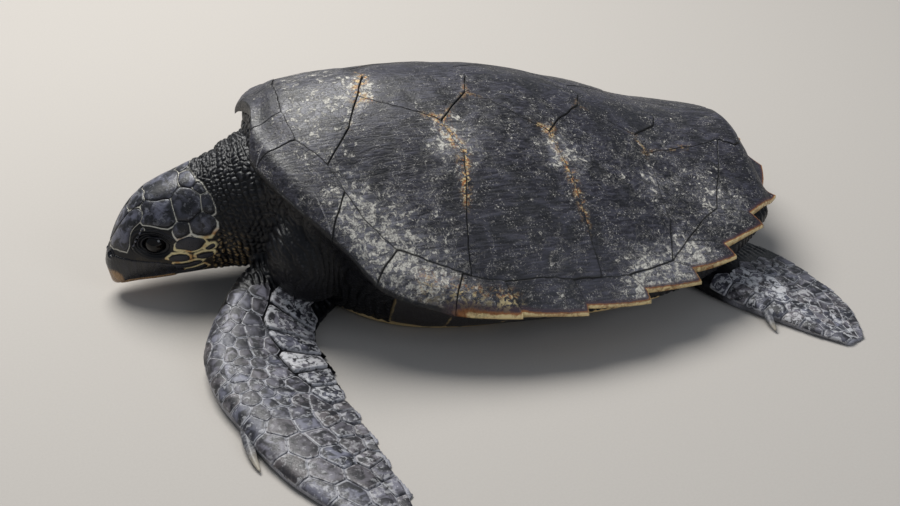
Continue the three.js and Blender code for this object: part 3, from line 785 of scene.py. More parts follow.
@dataclass
class Scute:
    """One horn scute: a closed plate over the dome that stands over the next one at its rear."""

    name: str
    outline: Points
    growth: Growth
    form: ShellForm
    thickness: float = 6
    lift: float = 1.8
    rim: Points = ()
    gap: float = 0.4
    bevel: float = 1.1
    step: float = 3.2
    rings: tuple = (0, 0.5, 1.1, 1.9, 3, 4.6, 7, 10, 14, 18, 23, 28, 33, 38, 44, 50, 56, 63, 70, 78, 86, 95)

    def edge_points(self) -> Array:
        """The outline in short, slightly wavering steps.

        Returns:
            Plan points.
        """
        line = []
        for (x, y), (nx, ny) in zip(self.outline, self.outline[1:] + self.outline[:1]):
            count = max(1, math.ceil(math.hypot(nx - x, ny - y) / self.step))
            line += [(x + (nx - x) * i / count, y + (ny - y) * i / count) for i in range(count)]
        return self.wavered(np.array(line, float))

    def wavered(self, plan: Array) -> Array:
        """Moves plan points a little, the same way for every scute that shares an edge.

        Args:
            plan: Plan points.

        Returns:
            The moved points.
        """
        calm = smoothstep(self.form.from_rim(plan[:, 0], plan[:, 1]), 6, 40)[:, None]
        even = np.column_stack([plan[:, 0], np.abs(plan[:, 1])])
        drift = np.column_stack([noise(even, 46, 3), noise(even, 46, 9) * smoothstep(even[:, 1], 0, 25)])
        drift[:, 1] *= np.where(plan[:, 1] < 0, -1, 1)
        return plan + (5.0 * drift + 1.1 * noise(even, 8, 4)[:, None]) * calm

    def build(self) -> Shape:
        """Builds the plate and the fields of its finish.

        Returns:
            The closed shape.
        """
        edge = self.edge_points()
        after = np.roll(edge, -1, axis=0)
        cross = edge[:, 0] * after[:, 1] - after[:, 0] * edge[:, 1]
        centre = ((edge + after) * cross[:, None]).sum(0) / (3 * cross.sum())
        arm = edge - centre
        reach = np.linalg.norm(arm, axis=1)
        mean = reach.mean()
        shares = [np.minimum(1 - r / mean, 1 - self.gap / reach) for r in self.rings if r < mean * 0.93]
        plan = np.concatenate([*(centre + arm * share[:, None] for share in shares), centre[None]])
        x, y = plan.T
        inside = distance_to_line(plan, edge, closed=True)
        from_rim = self.form.from_rim(x, y)
        top = self.form.height(x, y) + self.relief(x, y, inside, from_rim)
        count, last = len(edge), len(plan) - 1
        low = self.form.height(x, y) - self.depth(x, y)
        skirt = np.column_stack([plan[:count], (top[:count] + low[:count]) / 2])
        under = np.column_stack([plan[:count], low[:count]])
        inner = np.column_stack([plan[:count] * 0.5 + centre * 0.5, 0 * low[:count]])
        inner[:, 2] = self.form.height(inner[:, 0], inner[:, 1]) - self.depth(inner[:, 0], inner[:, 1])
        base = np.array([[*centre, inner[:, 2].mean()]])
        corners = np.concatenate([np.column_stack([plan, top]), skirt, under, inner, base])
        faces = [f[::-1] for f in loft_faces(len(shares), count, capped=False)]
        start = len(shares) * count
        for k in range(count):
            after_k = (k + 1) % count
            faces.append([start - count + k, last, start - count + after_k])
            faces.append([k, after_k, last + 1 + after_k, last + 1 + k])
            for ring in range(2):
                a = last + 1 + ring * count
                faces.append([a + k, a + after_k, a + count + after_k, a + count + k])
            faces.append([last + 1 + 2 * count + k, last + 1 + 2 * count + after_k, len(corners) - 1])
        return turned_out(Shape(corners, faces, self.fields(corners, inside, count, centre)))

    def depth(self, x: Array, y: Array) -> Array:
        """Thickness of the plate, straight down.

        Args:
            x: Plan places along the body.
            y: Plan places across it.

        Returns:
            Thicknesses in millimetres.
        """
        if self.growth is not Growth.MARGINAL:
            return np.full_like(x, self.thickness)
        from_rim, front = self.form.from_rim(x, y), 1 - smoothstep(x, -150, -60)
        return 2.4 + 5.6 * smoothstep(from_rim, 0, 26) + 6.5 * front * (1 - smoothstep(from_rim, 4, 34))

    def relief(self, x: Array, y: Array, inside: Array, from_rim: Array) -> Array:
        """Height of the plate's top over the dome.

        Args:
            x: Plan places along the body.
            y: Plan places across it.
            inside: Distance inside the scute's edge.
            from_rim: Distance inside the shell's rim.

        Returns:
            Height over the dome in millimetres.
        """
        plan = np.column_stack([x, y])
        share = (x - x.min()) / (x.max() - x.min())
        rounded = 1 - np.sqrt(np.maximum(0, 1 - (1 - np.minimum(inside / self.bevel, 1)) ** 2))
        swell = 1.0 * noise(plan, 60, 1) + 0.35 * noise(plan, 15, 5)
        rings = 0.28 * np.sin(2 * math.pi * (inside + 2.5 * noise(plan, 35, 7)) / 8.5) * np.exp(-inside / 34)
        height = self.lift * share - self.bevel * rounded + (swell + rings) * smoothstep(inside, 0, 9)
        if self.growth is Growth.MARGINAL:
            front = 1 - smoothstep(x, -150, -60)
            bend = 1 - np.sqrt(1 - (1 - np.clip(from_rim / 9, 0, 1)) ** 2)
            height += (4.5 * front + 0.8) * bell(from_rim - 11, 8) - 6.5 * front * bend
        return height

    def fields(self, corners: Array, inside: Array, count: int, centre: Array) -> dict:
        """The fields that the horn's finish reads, at each corner.

        Args:
            corners: Corners of the plate.
            inside: Distance of its top's corners inside its edge.
            count: Corners along its edge.
            centre: Its middle in plan.

        Returns:
            Values by the name of their field.
        """
        x, y = corners[:, 0], corners[:, 1]
        depth = np.concatenate([inside, np.zeros(2 * count), np.full(count + 1, 60.0)])
        seed = abs(math.sin(centre[0] * 12.9 + centre[1] * 78.2)) % 1
        return {
            "edge": np.minimum(depth / 60, 1),
            "scuff": scuffs_and_highlight(x, y),
            "warm": np.maximum(ochres(x, y, depth), self.pale_blotches(x, y)),
            "rim": self.rim_glow(x, y),
            "own": np.full(len(x), seed),
        }

    def pale_blotches(self, x: Array, y: Array) -> Array:
        """Where cream blotches lie along the rim.

        Args:
            x: Plan places along the body.
            y: Plan places across it.

        Returns:
            0 to 0.6 for each point.
        """
        if not self.rim:
            return np.zeros(len(x))
        near = 1 - smoothstep(self.form.from_rim(x, y), 20, 38)
        return 0.6 * near * np.clip(spots(x, y, MOTTLED), 0, 1)

    def rim_glow(self, x: Array, y: Array) -> Array:
        """How thin the horn is towards the rim: 1 at its edge, 0 from 20 mm inside it.

        Args:
            x: Plan places along the body.
            y: Plan places across it.

        Returns:
            0 to 1 for each point.
        """
        if not self.rim:
            return np.zeros(len(x))
        reach = distance_to_line(np.column_stack([x, y]), np.array(self.rim, float))
        wide = 9 + 8 * np.clip(spots(x, y, MOTTLED), 0, 1)
        return np.clip(1 - reach / wide, 0, 1) * smoothstep(x, -210, -120)


# Where the horn is rubbed white: [x, y, radius, weight], from the front. The strong spots on the front left
# rim also paint a highlight there.
SCUFFED_AND_HIGHLIT = (
    (-270, -60, 60, 0.9), (-262, 40, 50, 0.7), (-215, -30, 40, 0.5), (-250, -165, 42, 1.0),
    (-215, -205, 40, 1.0), (-170, -235, 45, 1.0), (-120, -262, 34, 0.5), (-128, -150, 60, 0.25),
    (-20, -60, 60, 0.15), (-10, -268, 60, 0.4), (-114, -104, 28, 0.75), (24, -104, 24, 0.6),
    (34, -134, 26, 0.65), (-205, -25, 24, 0.7), (148, -150, 30, 0.6), (90, -268, 40, 0.9),
    (132, -248, 34, 1.2), (180, -222, 32, 1.3), (235, -150, 40, 0.9), (60, -120, 70, 0.25),
    (-95, -110, 45, 0.45), (180, -100, 60, 0.4), (-150, 150, 60, 0.4), (90, 200, 80, 0.4), (230, 20, 60, 0.3),
)
# Where ochre shows in the seams: [x, y, radius, weight].
RUSTED = (
    (-199, -10, 30, 1.0), (-213, -35, 22, 0.9), (-231, -80, 14, 0.4), (-118, -90, 30, 0.8),
    (-100, -130, 34, 0.9), (-106, -170, 26, 0.5), (19, -92, 24, 0.7), (35, -146, 34, 0.8),
    (40, -196, 26, 0.5), (-72, -37, 26, 0.5), (78, -30, 22, 0.4), (149, -80, 30, 0.5), (210, -68, 26, 0.5),
    (-118, 84, 30, 0.6), (33, 146, 30, 0.6), (-190, 60, 24, 0.4), (150, 90, 30, 0.5),
)
# Where amber and cream mottle the rim further in: [x, y, radius, weight].
MOTTLED = (
    (-172, -240, 20, 0.7), (-128, -262, 28, 0.9), (-78, -276, 22, 0.9), (-150, 250, 40, 0.5),
    (290, -90, 40, 0.3),
)


def spots(x: Array, y: Array, places: tuple) -> Array:
    """Adds up soft round spots: [x, y, radius, weight] each.

    Args:
        x: Plan places along the body.
        y: Plan places across it.
        places: The spots.

    Returns:
        The sum at each point.
    """
    total = np.zeros(len(x))
    for px, py, radius, weight in places:
        total += weight * np.exp(-((x - px) ** 2 + (y - py) ** 2) / radius**2)
    return total


def scuffs_and_highlight(x: Array, y: Array) -> Array:
    """How far the horn is scuffed at each plan point; on the front left rim this also paints a highlight."""
    return np.clip(0.1 + spots(x, y, SCUFFED_AND_HIGHLIT), 0, 1.4)


def ochres(x: Array, y: Array, inside: Array) -> Array:
    """How much ochre shows at each plan point, most of it close to a seam."""
    return np.clip(spots(x, y, RUSTED), 0, 1) * np.exp(-inside / 8.0)


@dataclass
class Carapace:
    """The scutes of the back: where they meet, in plan, on the right half."""

    form: ShellForm = field(default_factory=ShellForm)
    serration: float = 19
    first_lift: float = 3.6
    rim_seams: tuple = (8, 17, 41, 51, 67, 80, 93, 106.5, 119.5, 131, 144, 158, 180)
    supracaudal_tip: float = 172
    supracaudal_notch: float = 38
    supracaudal_inset: float = 15
    keel_seams: tuple = ((-310, 0), (-199, 0), (-64, 0), (88, 0), (195, 0), (312, 0))
    keel_corners: tuple = ((-310, 40), (-213, 35), (-72, 37), (78, 30), (185, 30), (304, 46))
    vertebral_sides: tuple = (
        ((-300, 85), (-264, 120), (-231, 80)), ((-118, 84),), ((19, 92),), ((147, 62),),
        ((147, 62), (149, 93), (210, 68), (272, 46), (292, 54)),
    )
    costal_tops: tuple = (
        ((-264, 120), (-231, 80), (-213, 35), (-118, 84)), ((-118, 84), (-72, 37), (19, 92)),
        ((19, 92), (78, 30), (147, 62), (149, 93)), ((149, 93), (210, 68), (272, 46)),
    )
    costal_seams: tuple = (
        (), ((-98, 124), (-106, 173)), ((33, 146), (40, 200)), ((156, 140), (160, 183)), (),
    )
    costal_feet: tuple = (
        ((-118, 243), (-128, 239), (-200, 208), (-252, 152)), ((45, 256), (6, 260), (-80, 254), (-118, 243)),
        ((147, 232), (81, 254), (45, 256)), ((228, 156), (175, 205), (147, 232)),
    )
    marginal_tops: tuple = (
        ((-310, 40), (-300, 85)), ((-300, 85), (-264, 120), (-252, 152)), ((-252, 152), (-200, 208)),
        ((-200, 208), (-128, 239)), ((-128, 239), (-118, 243), (-80, 254)), ((-80, 254), (6, 260)),
        ((6, 260), (45, 256), (81, 254)), ((81, 254), (147, 232)), ((147, 232), (175, 205)),
        ((175, 205), (228, 156)), ((228, 156), (272, 46), (292, 54)), ((292, 54), (304, 46), (312, 0)),
    )

    def tooth(self, degrees: float) -> float:
        """Depth of the rim's saw teeth at an angle."""
        return self.serration * float(smoothstep(degrees, 60, 140))

    def vertebral(self, k: int) -> Points:
        """Outline of a vertebral scute."""
        side = [self.keel_corners[k], *self.vertebral_sides[k], self.keel_corners[k + 1]]
        return [self.keel_seams[k], *side, self.keel_seams[k + 1], *mirrored(side)]

    def costal(self, k: int) -> Points:
        """Outline of a right costal scute."""
        rear, front = self.costal_seams[k + 1], self.costal_seams[k][::-1]
        return [*self.costal_tops[k], *rear, *self.costal_feet[k], *front]

    def marginal(self, k: int) -> Points:
        """Outline of a right marginal scute, with its saw tooth.

        Args:
            k: Number from the front.

        Returns:
            Plan points.
        """
        start, end = self.rim_seams[k], self.rim_seams[k + 1]
        last = k == len(self.marginal_tops) - 1
        tip = self.supracaudal_tip if last else end
        inset = self.supracaudal_inset if last else 0
        rear = self.form.rim_point(end, self.supracaudal_notch if last else self.tooth(end))
        steps, tooth = max(2, round(tip - start)), self.tooth(start)
        rim = []
        for share in (i / steps for i in range(steps, 0, -1)):
            rim.append(
                self.form.rim_point(start + (tip - start) * share, tooth * (1 - share) + inset * share)
            )
        return [*self.marginal_tops[k], rear, *rim, self.form.rim_point(start, tooth)]

    def rim_line(self, k: int) -> Points:
        """The part of a right marginal scute's outline that lies on the rim."""
        return self.marginal(k)[len(self.marginal_tops[k]):]

    def nuchal(self) -> Points:
        """Outline of the nuchal scute over the neck.

        Returns:
            Plan points.
        """
        rim = [self.form.rim_point(a) for a in np.linspace(self.rim_seams[0], 0, 9)]
        x, y = self.marginal_tops[0][0]
        return [*rim, *mirrored(rim)[1:], (x, -y), self.keel_seams[0], (x, y)]

    def scutes(self) -> list[Scute]:
        """Every scute of the carapace.

        Returns:
            The scutes, from the nuchal one.
        """
        made = [Scute("nuchal", self.nuchal(), Growth.MARGINAL, self.form)]
        for k in range(len(self.vertebral_sides)):
            lift = self.first_lift if k == 0 else 2.6
            name, outline = f"vertebral_{k + 1}", self.vertebral(k)
            made.append(Scute(name, outline, Growth.VERTEBRAL, self.form, lift=lift))
        for side in Side:
            turn = mirrored if side is Side.LEFT else list
            for k in range(len(self.costal_tops)):
                name, outline = f"costal_{side.label}_{k + 1}", turn(self.costal(k))
                made.append(Scute(name, outline, Growth.COSTAL, self.form))
            for k in range(len(self.marginal_tops)):
                name, outline = f"marginal_{side.label}_{k + 1}", turn(self.marginal(k))
                rim = turn(self.rim_line(k))
                made.append(Scute(name, outline, Growth.MARGINAL, self.form, lift=2.2, rim=rim))
        return made

    def build(self) -> None:
        """Builds and dresses the scutes, one piece for each."""
        horn = WeatheredHorn().make()
        for scute in self.scutes():
            slot = "rim_horn" if scute.growth is Growth.MARGINAL else "scute_horn"
            scute.build().piece(f"{scute.name}_horn", horn, slot, [scute.name])


# ---- Underside ----


@dataclass
class Underside:
    """The plastron, flat on the ground, and the bridges that join it to the rim."""

    form: ShellForm = field(default_factory=ShellForm)
    half_width: float = 196
    centre: float = -16
    reach: float = 270
    thickness: float = 10
    bridge_thickness: float = 7
    stations: tuple = (-205, 125)
    scute_seams: tuple = (-215, -135, -45, 70, 165)
    bridge_seams: float = 66  # their spacing
    section: tuple = (
        (0.02, 0), (0.2, 0), (0.4, 0), (0.6, 0), (0.78, 0), (0.88, 0), (0.93, 0), (0.96, 1.2), (0.985, 3),
        (1, 5), (1, 8), (0.995, 9.4), (0.98, 10), (0.9, 10), (0.5, 10), (0.02, 10),
    )

    def width_at(self, x: Array) -> Array:
        """Half-width of the plastron at each place along it."""
        along = np.minimum(1, np.abs((np.asarray(x, float) - self.centre) / self.reach))
        return self.half_width * np.sqrt(1 - along**3.2)

    def plastron(self) -> Shape:
        """The plastron: a flat slab with its edge turned up, and shallow seams between its scutes.

        Returns:
            The closed shape.
        """
        sides = 220
        angle = around(sides)
        x = self.centre + self.reach * np.cos(angle)
        y = np.sign(np.round(np.sin(angle), 9)) * self.width_at(x)
        rim = np.column_stack([x, y])
        middle = np.array([self.centre, 0.0])
        plan = np.concatenate([middle + (rim - middle) * share for share, _ in self.section])
        z = np.repeat([float(height) for _, height in self.section], sides)
        seam = self.seam_distance(plan)
        z = z + np.where(z < 5.1, 1, -1) * 0.7 * (1 - smoothstep(seam, 0, 2.5)) * (z > 0.5)
        dark = 0.12 + 0.5 * (noise(plan, 90, 21) > 0.35) + 0.3 * smoothstep(np.abs(plan[:, 1]), 150, 200)
        rings = np.column_stack([plan, z]).reshape(-1, sides, 3)
        return lofted(rings, {"edge": np.minimum(seam / 60, 1), "dark": dark})

    def seam_distance(self, plan: Array) -> Array:
        """Distance of each plan point from a seam of the plastron."""
        bent = plan[:, 0] + 10 * np.sin(np.abs(plan[:, 1]) / 45)
        return np.minimum(np.abs(plan[:, 1]), np.abs(bent[:, None] - np.array(self.scute_seams)).min(1))

    def bridge(self, side: Side) -> Shape:
        """The sloping bridge on one side, divided into scutes.

        Args:
            side: Side that it is on.

        Returns:
            The closed shape.
        """
        lengths = np.linspace(*self.stations, 110)
        from_seam = np.abs((lengths - self.stations[0]) % self.bridge_seams - self.bridge_seams / 2)
        groove = self.bridge_seams / 2 - from_seam
        inner, outer = self.width_at(lengths) - 3, 0.915 * self.form.width_at(lengths)
        rise = curve(self.form.rim, lengths) - 14
        rings = []
        parts = np.concatenate([np.linspace(0, 1, 14), np.linspace(1, 0, 14)])
        for number, part in enumerate(parts):
            low = number < 14
            y = inner + (outer - inner) * part
            z = 3 + (rise - 3) * part + (0 if low else self.bridge_thickness)
            z = z - (3 if low else 1.5) * math.sin(math.pi * part) * (1 if low else 0.4)
            z = z + (1 if low else -1) * (1 - smoothstep(groove, 0, 3)) * 0.8
            rings.append(np.column_stack([lengths, side.value * y, z]))
        rings = np.stack(rings, axis=1)
        x, y = rings[..., 0].ravel(), rings[..., 1].ravel()
        groove = np.repeat(groove, len(parts))
        share = (np.abs(y) - self.width_at(x)) / 60
        # Most of each bridge scute is painted dark as painted shade; it stays cream near its seams and at its
        # edges.
        dark = 0.97 - 0.42 * (1 - smoothstep(groove, 0.5, 3.2))
        dark -= 0.7 * smoothstep(np.abs(share - 0.5), 0.4, 0.5)
        return lofted(rings, {"edge": np.minimum(groove / 60, 1), "dark": dark})

    def build(self) -> None:
        """Builds and dresses the underside."""
        horn = PlastronHorn().make()
        self.plastron().piece("plastron_scutes", horn, "plastron_horn", ["plastron"])
        for side in Side:
            name = f"bridge_{side.label}"
            self.bridge(side).piece(f"{name}_scutes", horn, "plastron_horn", [name])


# ---- Head ----


@dataclass(frozen=True)
class HeadForm:
    """The head as sections along its axis, in its own frame: ahead of the neck, across to the right, up."""

    root: tuple = (-400, 0, 105)
    pitch: float = 12
    power: float = 0.86
    stations: tuple = (
        (-12, 60, 74, -75), (15, 58, 69, -72), (40, 55.5, 65, -68), (68, 51.5, 59, -64), (90, 45, 49, -62),
        (110, 36, 33, -60), (124, 29, 17, -59), (136, 22, 0, -59), (145, 15, -13.5, -58), (150, 7, -25, -57),
    )
    eye_place: tuple = (80, 34, 1)
    eye_radius: float = 14
    horn_line: tuple = ((170, -4), (136, -9), (104, -17), (84, -21), (62, -31), (52, -47.5))
    mouth_line: tuple = ((170, -62), (147, -62.5), (139, -52), (128, -47.5), (52, -47.5))
    jaw_line: tuple = ((70, -47.5), (64, -90))

    def eye_front(self, aside: Array) -> Array:
        """How far the eye's front stands out from its middle, at distances from its axis."""
        share = np.minimum(np.abs(aside) / self.eye_radius, 0.999)
        return (self.eye_radius - 1) * (1 - share**2.2) ** (1 / 2.2)

    def place(self, own: Array) -> Array:
        """Points of the head's frame as points of the row's frame.

        Args:
            own: Points ahead, across and up.

        Returns:
            Points in the row's frame.
        """
        turn, (x, y, z) = math.radians(self.pitch), self.root
        ahead, across, up = np.asarray(own, float).T
        return np.column_stack([
            x - ahead * math.cos(turn) - up * math.sin(turn), y + across,
            z - ahead * math.sin(turn) + up * math.cos(turn)])

    def own(self, world: Array) -> Array:
        """Points of the row's frame as points of the head's frame.

        Args:
            world: Points in the row's frame.

        Returns:
            Points ahead, across and up.
        """
        turn, (x, y, z) = math.radians(self.pitch), self.root
        dx, dz = x - world[:, 0], world[:, 2] - z
        return np.column_stack([
            dx * math.cos(turn) - dz * math.sin(turn), world[:, 1] - y,
            dx * math.sin(turn) + dz * math.cos(turn)])

    def section(self, ahead: Array) -> tuple[Array, Array, Array]:
        """Half-width, top and bottom of the section at each place."""
        table = np.array(self.stations, float)
        return tuple(curve(table[:, [0, k]], ahead) for k in (1, 2, 3))

    def skin_point(self, ahead: Array, angle: Array) -> Array:
        """Points of the head's surface.

        Args:
            ahead: Places along the head's axis.
            angle: Degrees from the middle of the crown, positive to the right.

        Returns:
            The points in the row's frame.
        """
        wide, top, bottom = self.section(ahead)
        level = (top + bottom) / 2 - 0.08 * (top - bottom)
        a = np.radians(angle)
        c, s = np.cos(a), np.sin(a)
        up = level + np.where(c > 0, top - level, level - bottom) * np.sign(c) * np.abs(c) ** self.power
        return self.place(np.column_stack([ahead, wide * np.sign(s) * np.abs(s) ** self.power, up]))

    def angle_at(self, own: Array) -> Array:
        """Degrees from the middle of the crown of points in the head's frame.

        Args:
            own: Points in the head's frame.

        Returns:
            One angle for each point, positive to the right.
        """
        wide, top, bottom = self.section(own[:, 0])
        level = (top + bottom) / 2 - 0.08 * (top - bottom)
        rise = own[:, 2] - level
        up = rise / np.where(rise > 0, top - level, level - bottom)
        return np.degrees(np.arctan2(own[:, 1] / wide, up))


def voronoi(seeds: Array, weights: Array, box: tuple[float, float, float, float]) -> list[Array]:
    """Cells round weighted seeds, as polygons.

    Args:
        seeds: Places of the seeds.
        weights: How far each seed pushes its border outwards.
        box: Lowest and highest x, then lowest and highest y.

    Returns:
        One polygon for each seed, in the seeds' order.
    """
    low_x, high_x, low_y, high_y = box
    cells = []
    for i, seed in enumerate(seeds):
        cell = np.array([(low_x, low_y), (high_x, low_y), (high_x, high_y), (low_x, high_y)], float)
        gaps = np.linalg.norm(seeds - seed, axis=1)
        for j in np.argsort(gaps)[1:26]:
            if gaps[j] < 1e-6:
                continue
            way = (seeds[j] - seed) / gaps[j]
            border = (gaps[j] + weights[i] - weights[j]) / 2
            over = (cell - seed) @ way - border
            kept = []
            for k in range(len(cell)):
                n = (k + 1) % len(cell)
                if over[k] <= 0:
                    kept.append(cell[k])
                if (over[k] < 0) != (over[n] < 0) and over[k] != over[n]:
                    kept.append(cell[k] + (cell[n] - cell[k]) * over[k] / (over[k] - over[n]))
            cell = np.array(kept)
            if len(cell) < 3:
                break
        cells.append(cell)
    return cells


def rounded(cell: Array, gap: float, turns: int = 2) -> Array:
    """A cell drawn in by a gap, with its corners rounded and its sides waved a little.

    Args:
        cell: Corners of the cell.
        gap: How far it is drawn in.
        turns: How often its corners are cut.

    Returns:
        The outline.
    """
    centre = cell.mean(0)
    reach = np.linalg.norm(cell - centre, axis=1, keepdims=True)
    cell = centre + (cell - centre) * np.maximum(0.2, 1 - 1.2 * gap / reach)
    line = []
    for a, b in zip(cell, np.roll(cell, -1, axis=0)):
        count = max(1, round(np.linalg.norm(b - a) / 7))
        line += [a + (b - a) * i / count for i in range(count)]
    line = np.array(line)
    for _ in range(turns):
        after = np.roll(line, -1, axis=0)
        line = np.stack([0.75 * line + 0.25 * after, 0.25 * line + 0.75 * after], axis=1).reshape(-1, 2)
    return line


@dataclass(frozen=True)
class ScaleCut:
    """How a scale stands on the skin, in millimetres."""

    rise: float = 1.0
    crown: float = 0.7
    sunk: float = 1.6
    tilt: float = 0.0
    rings: int = 4


def scale_mesh(
    outline: Array, cut: ScaleCut, place: object, free: Array, fields: dict, unwrap: object
) -> Shape:
    """A scale as a solid plate over the skin.

    Args:
        outline: Its edge on the skin's flat plan.
        cut: How it stands on the skin.
        place: Turns plan points and heights into points of the row's frame.
        free: Direction on the plan in which its free edge lies.
        fields: Fields that are the same all over the scale.
        unwrap: Turns plan points into places on the skin's unwrap.

    Returns:
        The closed shape.
    """
    centre = outline.mean(0)
    arm = outline - centre
    size = np.abs(arm @ free).max()
    steps = [(1.0, -cut.sunk, 0.0), (0.995, 0.35 * cut.rise, 0.0), (0.965, 0.85 * cut.rise, 0.1)]
    for k in range(cut.rings):
        share = 0.9 * (1 - k / cut.rings)
        steps.append((share, cut.rise + cut.crown * (1 - share**2), 1 - share**1.5))
    plan, height, inner = [], [], []
    for share, level, depth in steps:
        ring = centre + arm * share
        lean = cut.tilt * ((ring - centre) @ free / size + 1) / 2
        plan.append(ring)
        height.append(level + lean * (level > 0))
        inner.append(np.full(len(ring), depth))
    plan.append(centre[None])
    height.append(np.array([cut.rise + cut.crown + cut.tilt / 2]))
    inner.append(np.ones(1))
    count = len(outline)
    flat = np.concatenate(plan)
    corners = place(flat, np.concatenate(height))
    faces = loft_faces(len(steps), count, capped=False)
    start = (len(steps) - 1) * count
    faces += [[start + k, start + (k + 1) % count, len(flat) - 1] for k in range(count)]
    faces.append(list(range(count))[::-1])
    made = {key: np.full(len(flat), value) for key, value in fields.items()}
    made["inner"] = np.concatenate(inner)
    return Shape(corners, faces, made, unwrap(flat))


# The head's horn shields on its right half: [ahead along the head, degrees round it from the crown's middle].
# The first three lie across the middle, and their left halves mirror the right ones.
MIDDLE_SHIELDS = {
    "prefrontal_middle": ((132, 0), (128, 7), (113, 13), (100, 13), (99, 7), (101, 0)),
    "frontal": ((101, 0), (99, 7), (94, 15), (88, 18), (82, 20), (75, 16), (76, 9), (73, 0)),
    "frontoparietal": (
        (73, 0), (76, 9), (75, 16), (70, 21), (61, 27), (51, 29), (43, 33), (36, 25), (28, 22), (29, 12),
        (26, 5), (25, 0),
    ),
}
SIDE_SHIELDS = {
    "prefrontal": (
        (100, 13), (93, 16), (84, 24), (82, 32), (85, 39), (89, 43), (99, 44), (104, 46), (108, 51),
        (113, 62), (118, 66), (126, 55), (134, 35), (137, 12), (134, 2), (128, 7), (113, 13),
    ),
    "supraocular": (
        (84, 24), (75, 16), (70, 21), (61, 27), (51, 29), (43, 33), (44, 42), (44, 51), (45, 59), (50, 62),
        (58, 63), (66, 60), (78, 53), (87, 48), (89, 43), (85, 39), (82, 32),
    ),
    "parietal": (
        (43, 33), (36, 25), (28, 22), (22, 25), (14, 30), (10, 37), (6, 42), (8, 48), (10, 58), (18, 60),
        (27, 64), (31, 64), (37, 62), (44, 60), (44, 51), (44, 42),
    ),
    "occipital": (
        (26, 5), (25, 0.5), (16, 0.5), (10, 4), (8, 10), (6, 20), (6, 25), (9, 28), (14, 30), (22, 25),
        (28, 22), (29, 12),
    ),
    "nape_upper": ((6, 25), (0, 30), (-2, 37), (-3, 42), (2, 42), (6, 42), (10, 37), (14, 30), (9, 28)),
    "nape_lower": (
        (6, 42), (-3, 42), (-6, 46), (-7, 55), (-7, 60), (-5, 63), (0, 64), (6, 62), (10, 58), (8, 48),
    ),
    "temporal": (
        (10, 58), (6, 62), (0, 65), (-4, 71), (-2, 76), (3, 78), (9, 82), (18, 81), (27, 78), (32, 74),
        (31, 69), (31, 64), (27, 64), (18, 60),
    ),
    "postocular_upper": (
        (44, 60), (37, 62), (31, 64), (31, 69), (32, 74), (38, 76), (46, 77), (52, 76), (54, 72), (54, 67),
        (50, 63),
    ),
    "postocular_lower": (
        (52, 79), (46, 78), (36, 77), (31, 79), (23, 82), (18, 84), (16, 87), (19, 88), (24, 91), (32, 93),
        (39, 93), (47, 90), (54, 88), (59, 86), (56, 81),
    ),
    "cheek": ((64, 90), (54, 91), (46, 94), (42, 99), (43, 103), (49, 105), (58, 104), (66, 100), (73, 95)),
    "cheek_rear": ((20, 90), (13, 88), (7, 89), (6, 92), (12, 95), (20, 95), (24, 92)),
    "cheek_low": ((36, 98), (26, 96), (17, 97), (11, 99), (13, 104), (22, 107), (31, 106), (38, 102)),
    "jaw_upper": (
        (66, 105), (56, 108), (46, 108), (38, 107), (27, 109), (34, 115), (46, 119), (57, 118), (69, 112),
    ),
    "jaw_lower": (
        (70, 119), (58, 122), (44, 122), (28, 117), (24, 124), (34, 132), (46, 136), (60, 136), (72, 130),
    ),
}


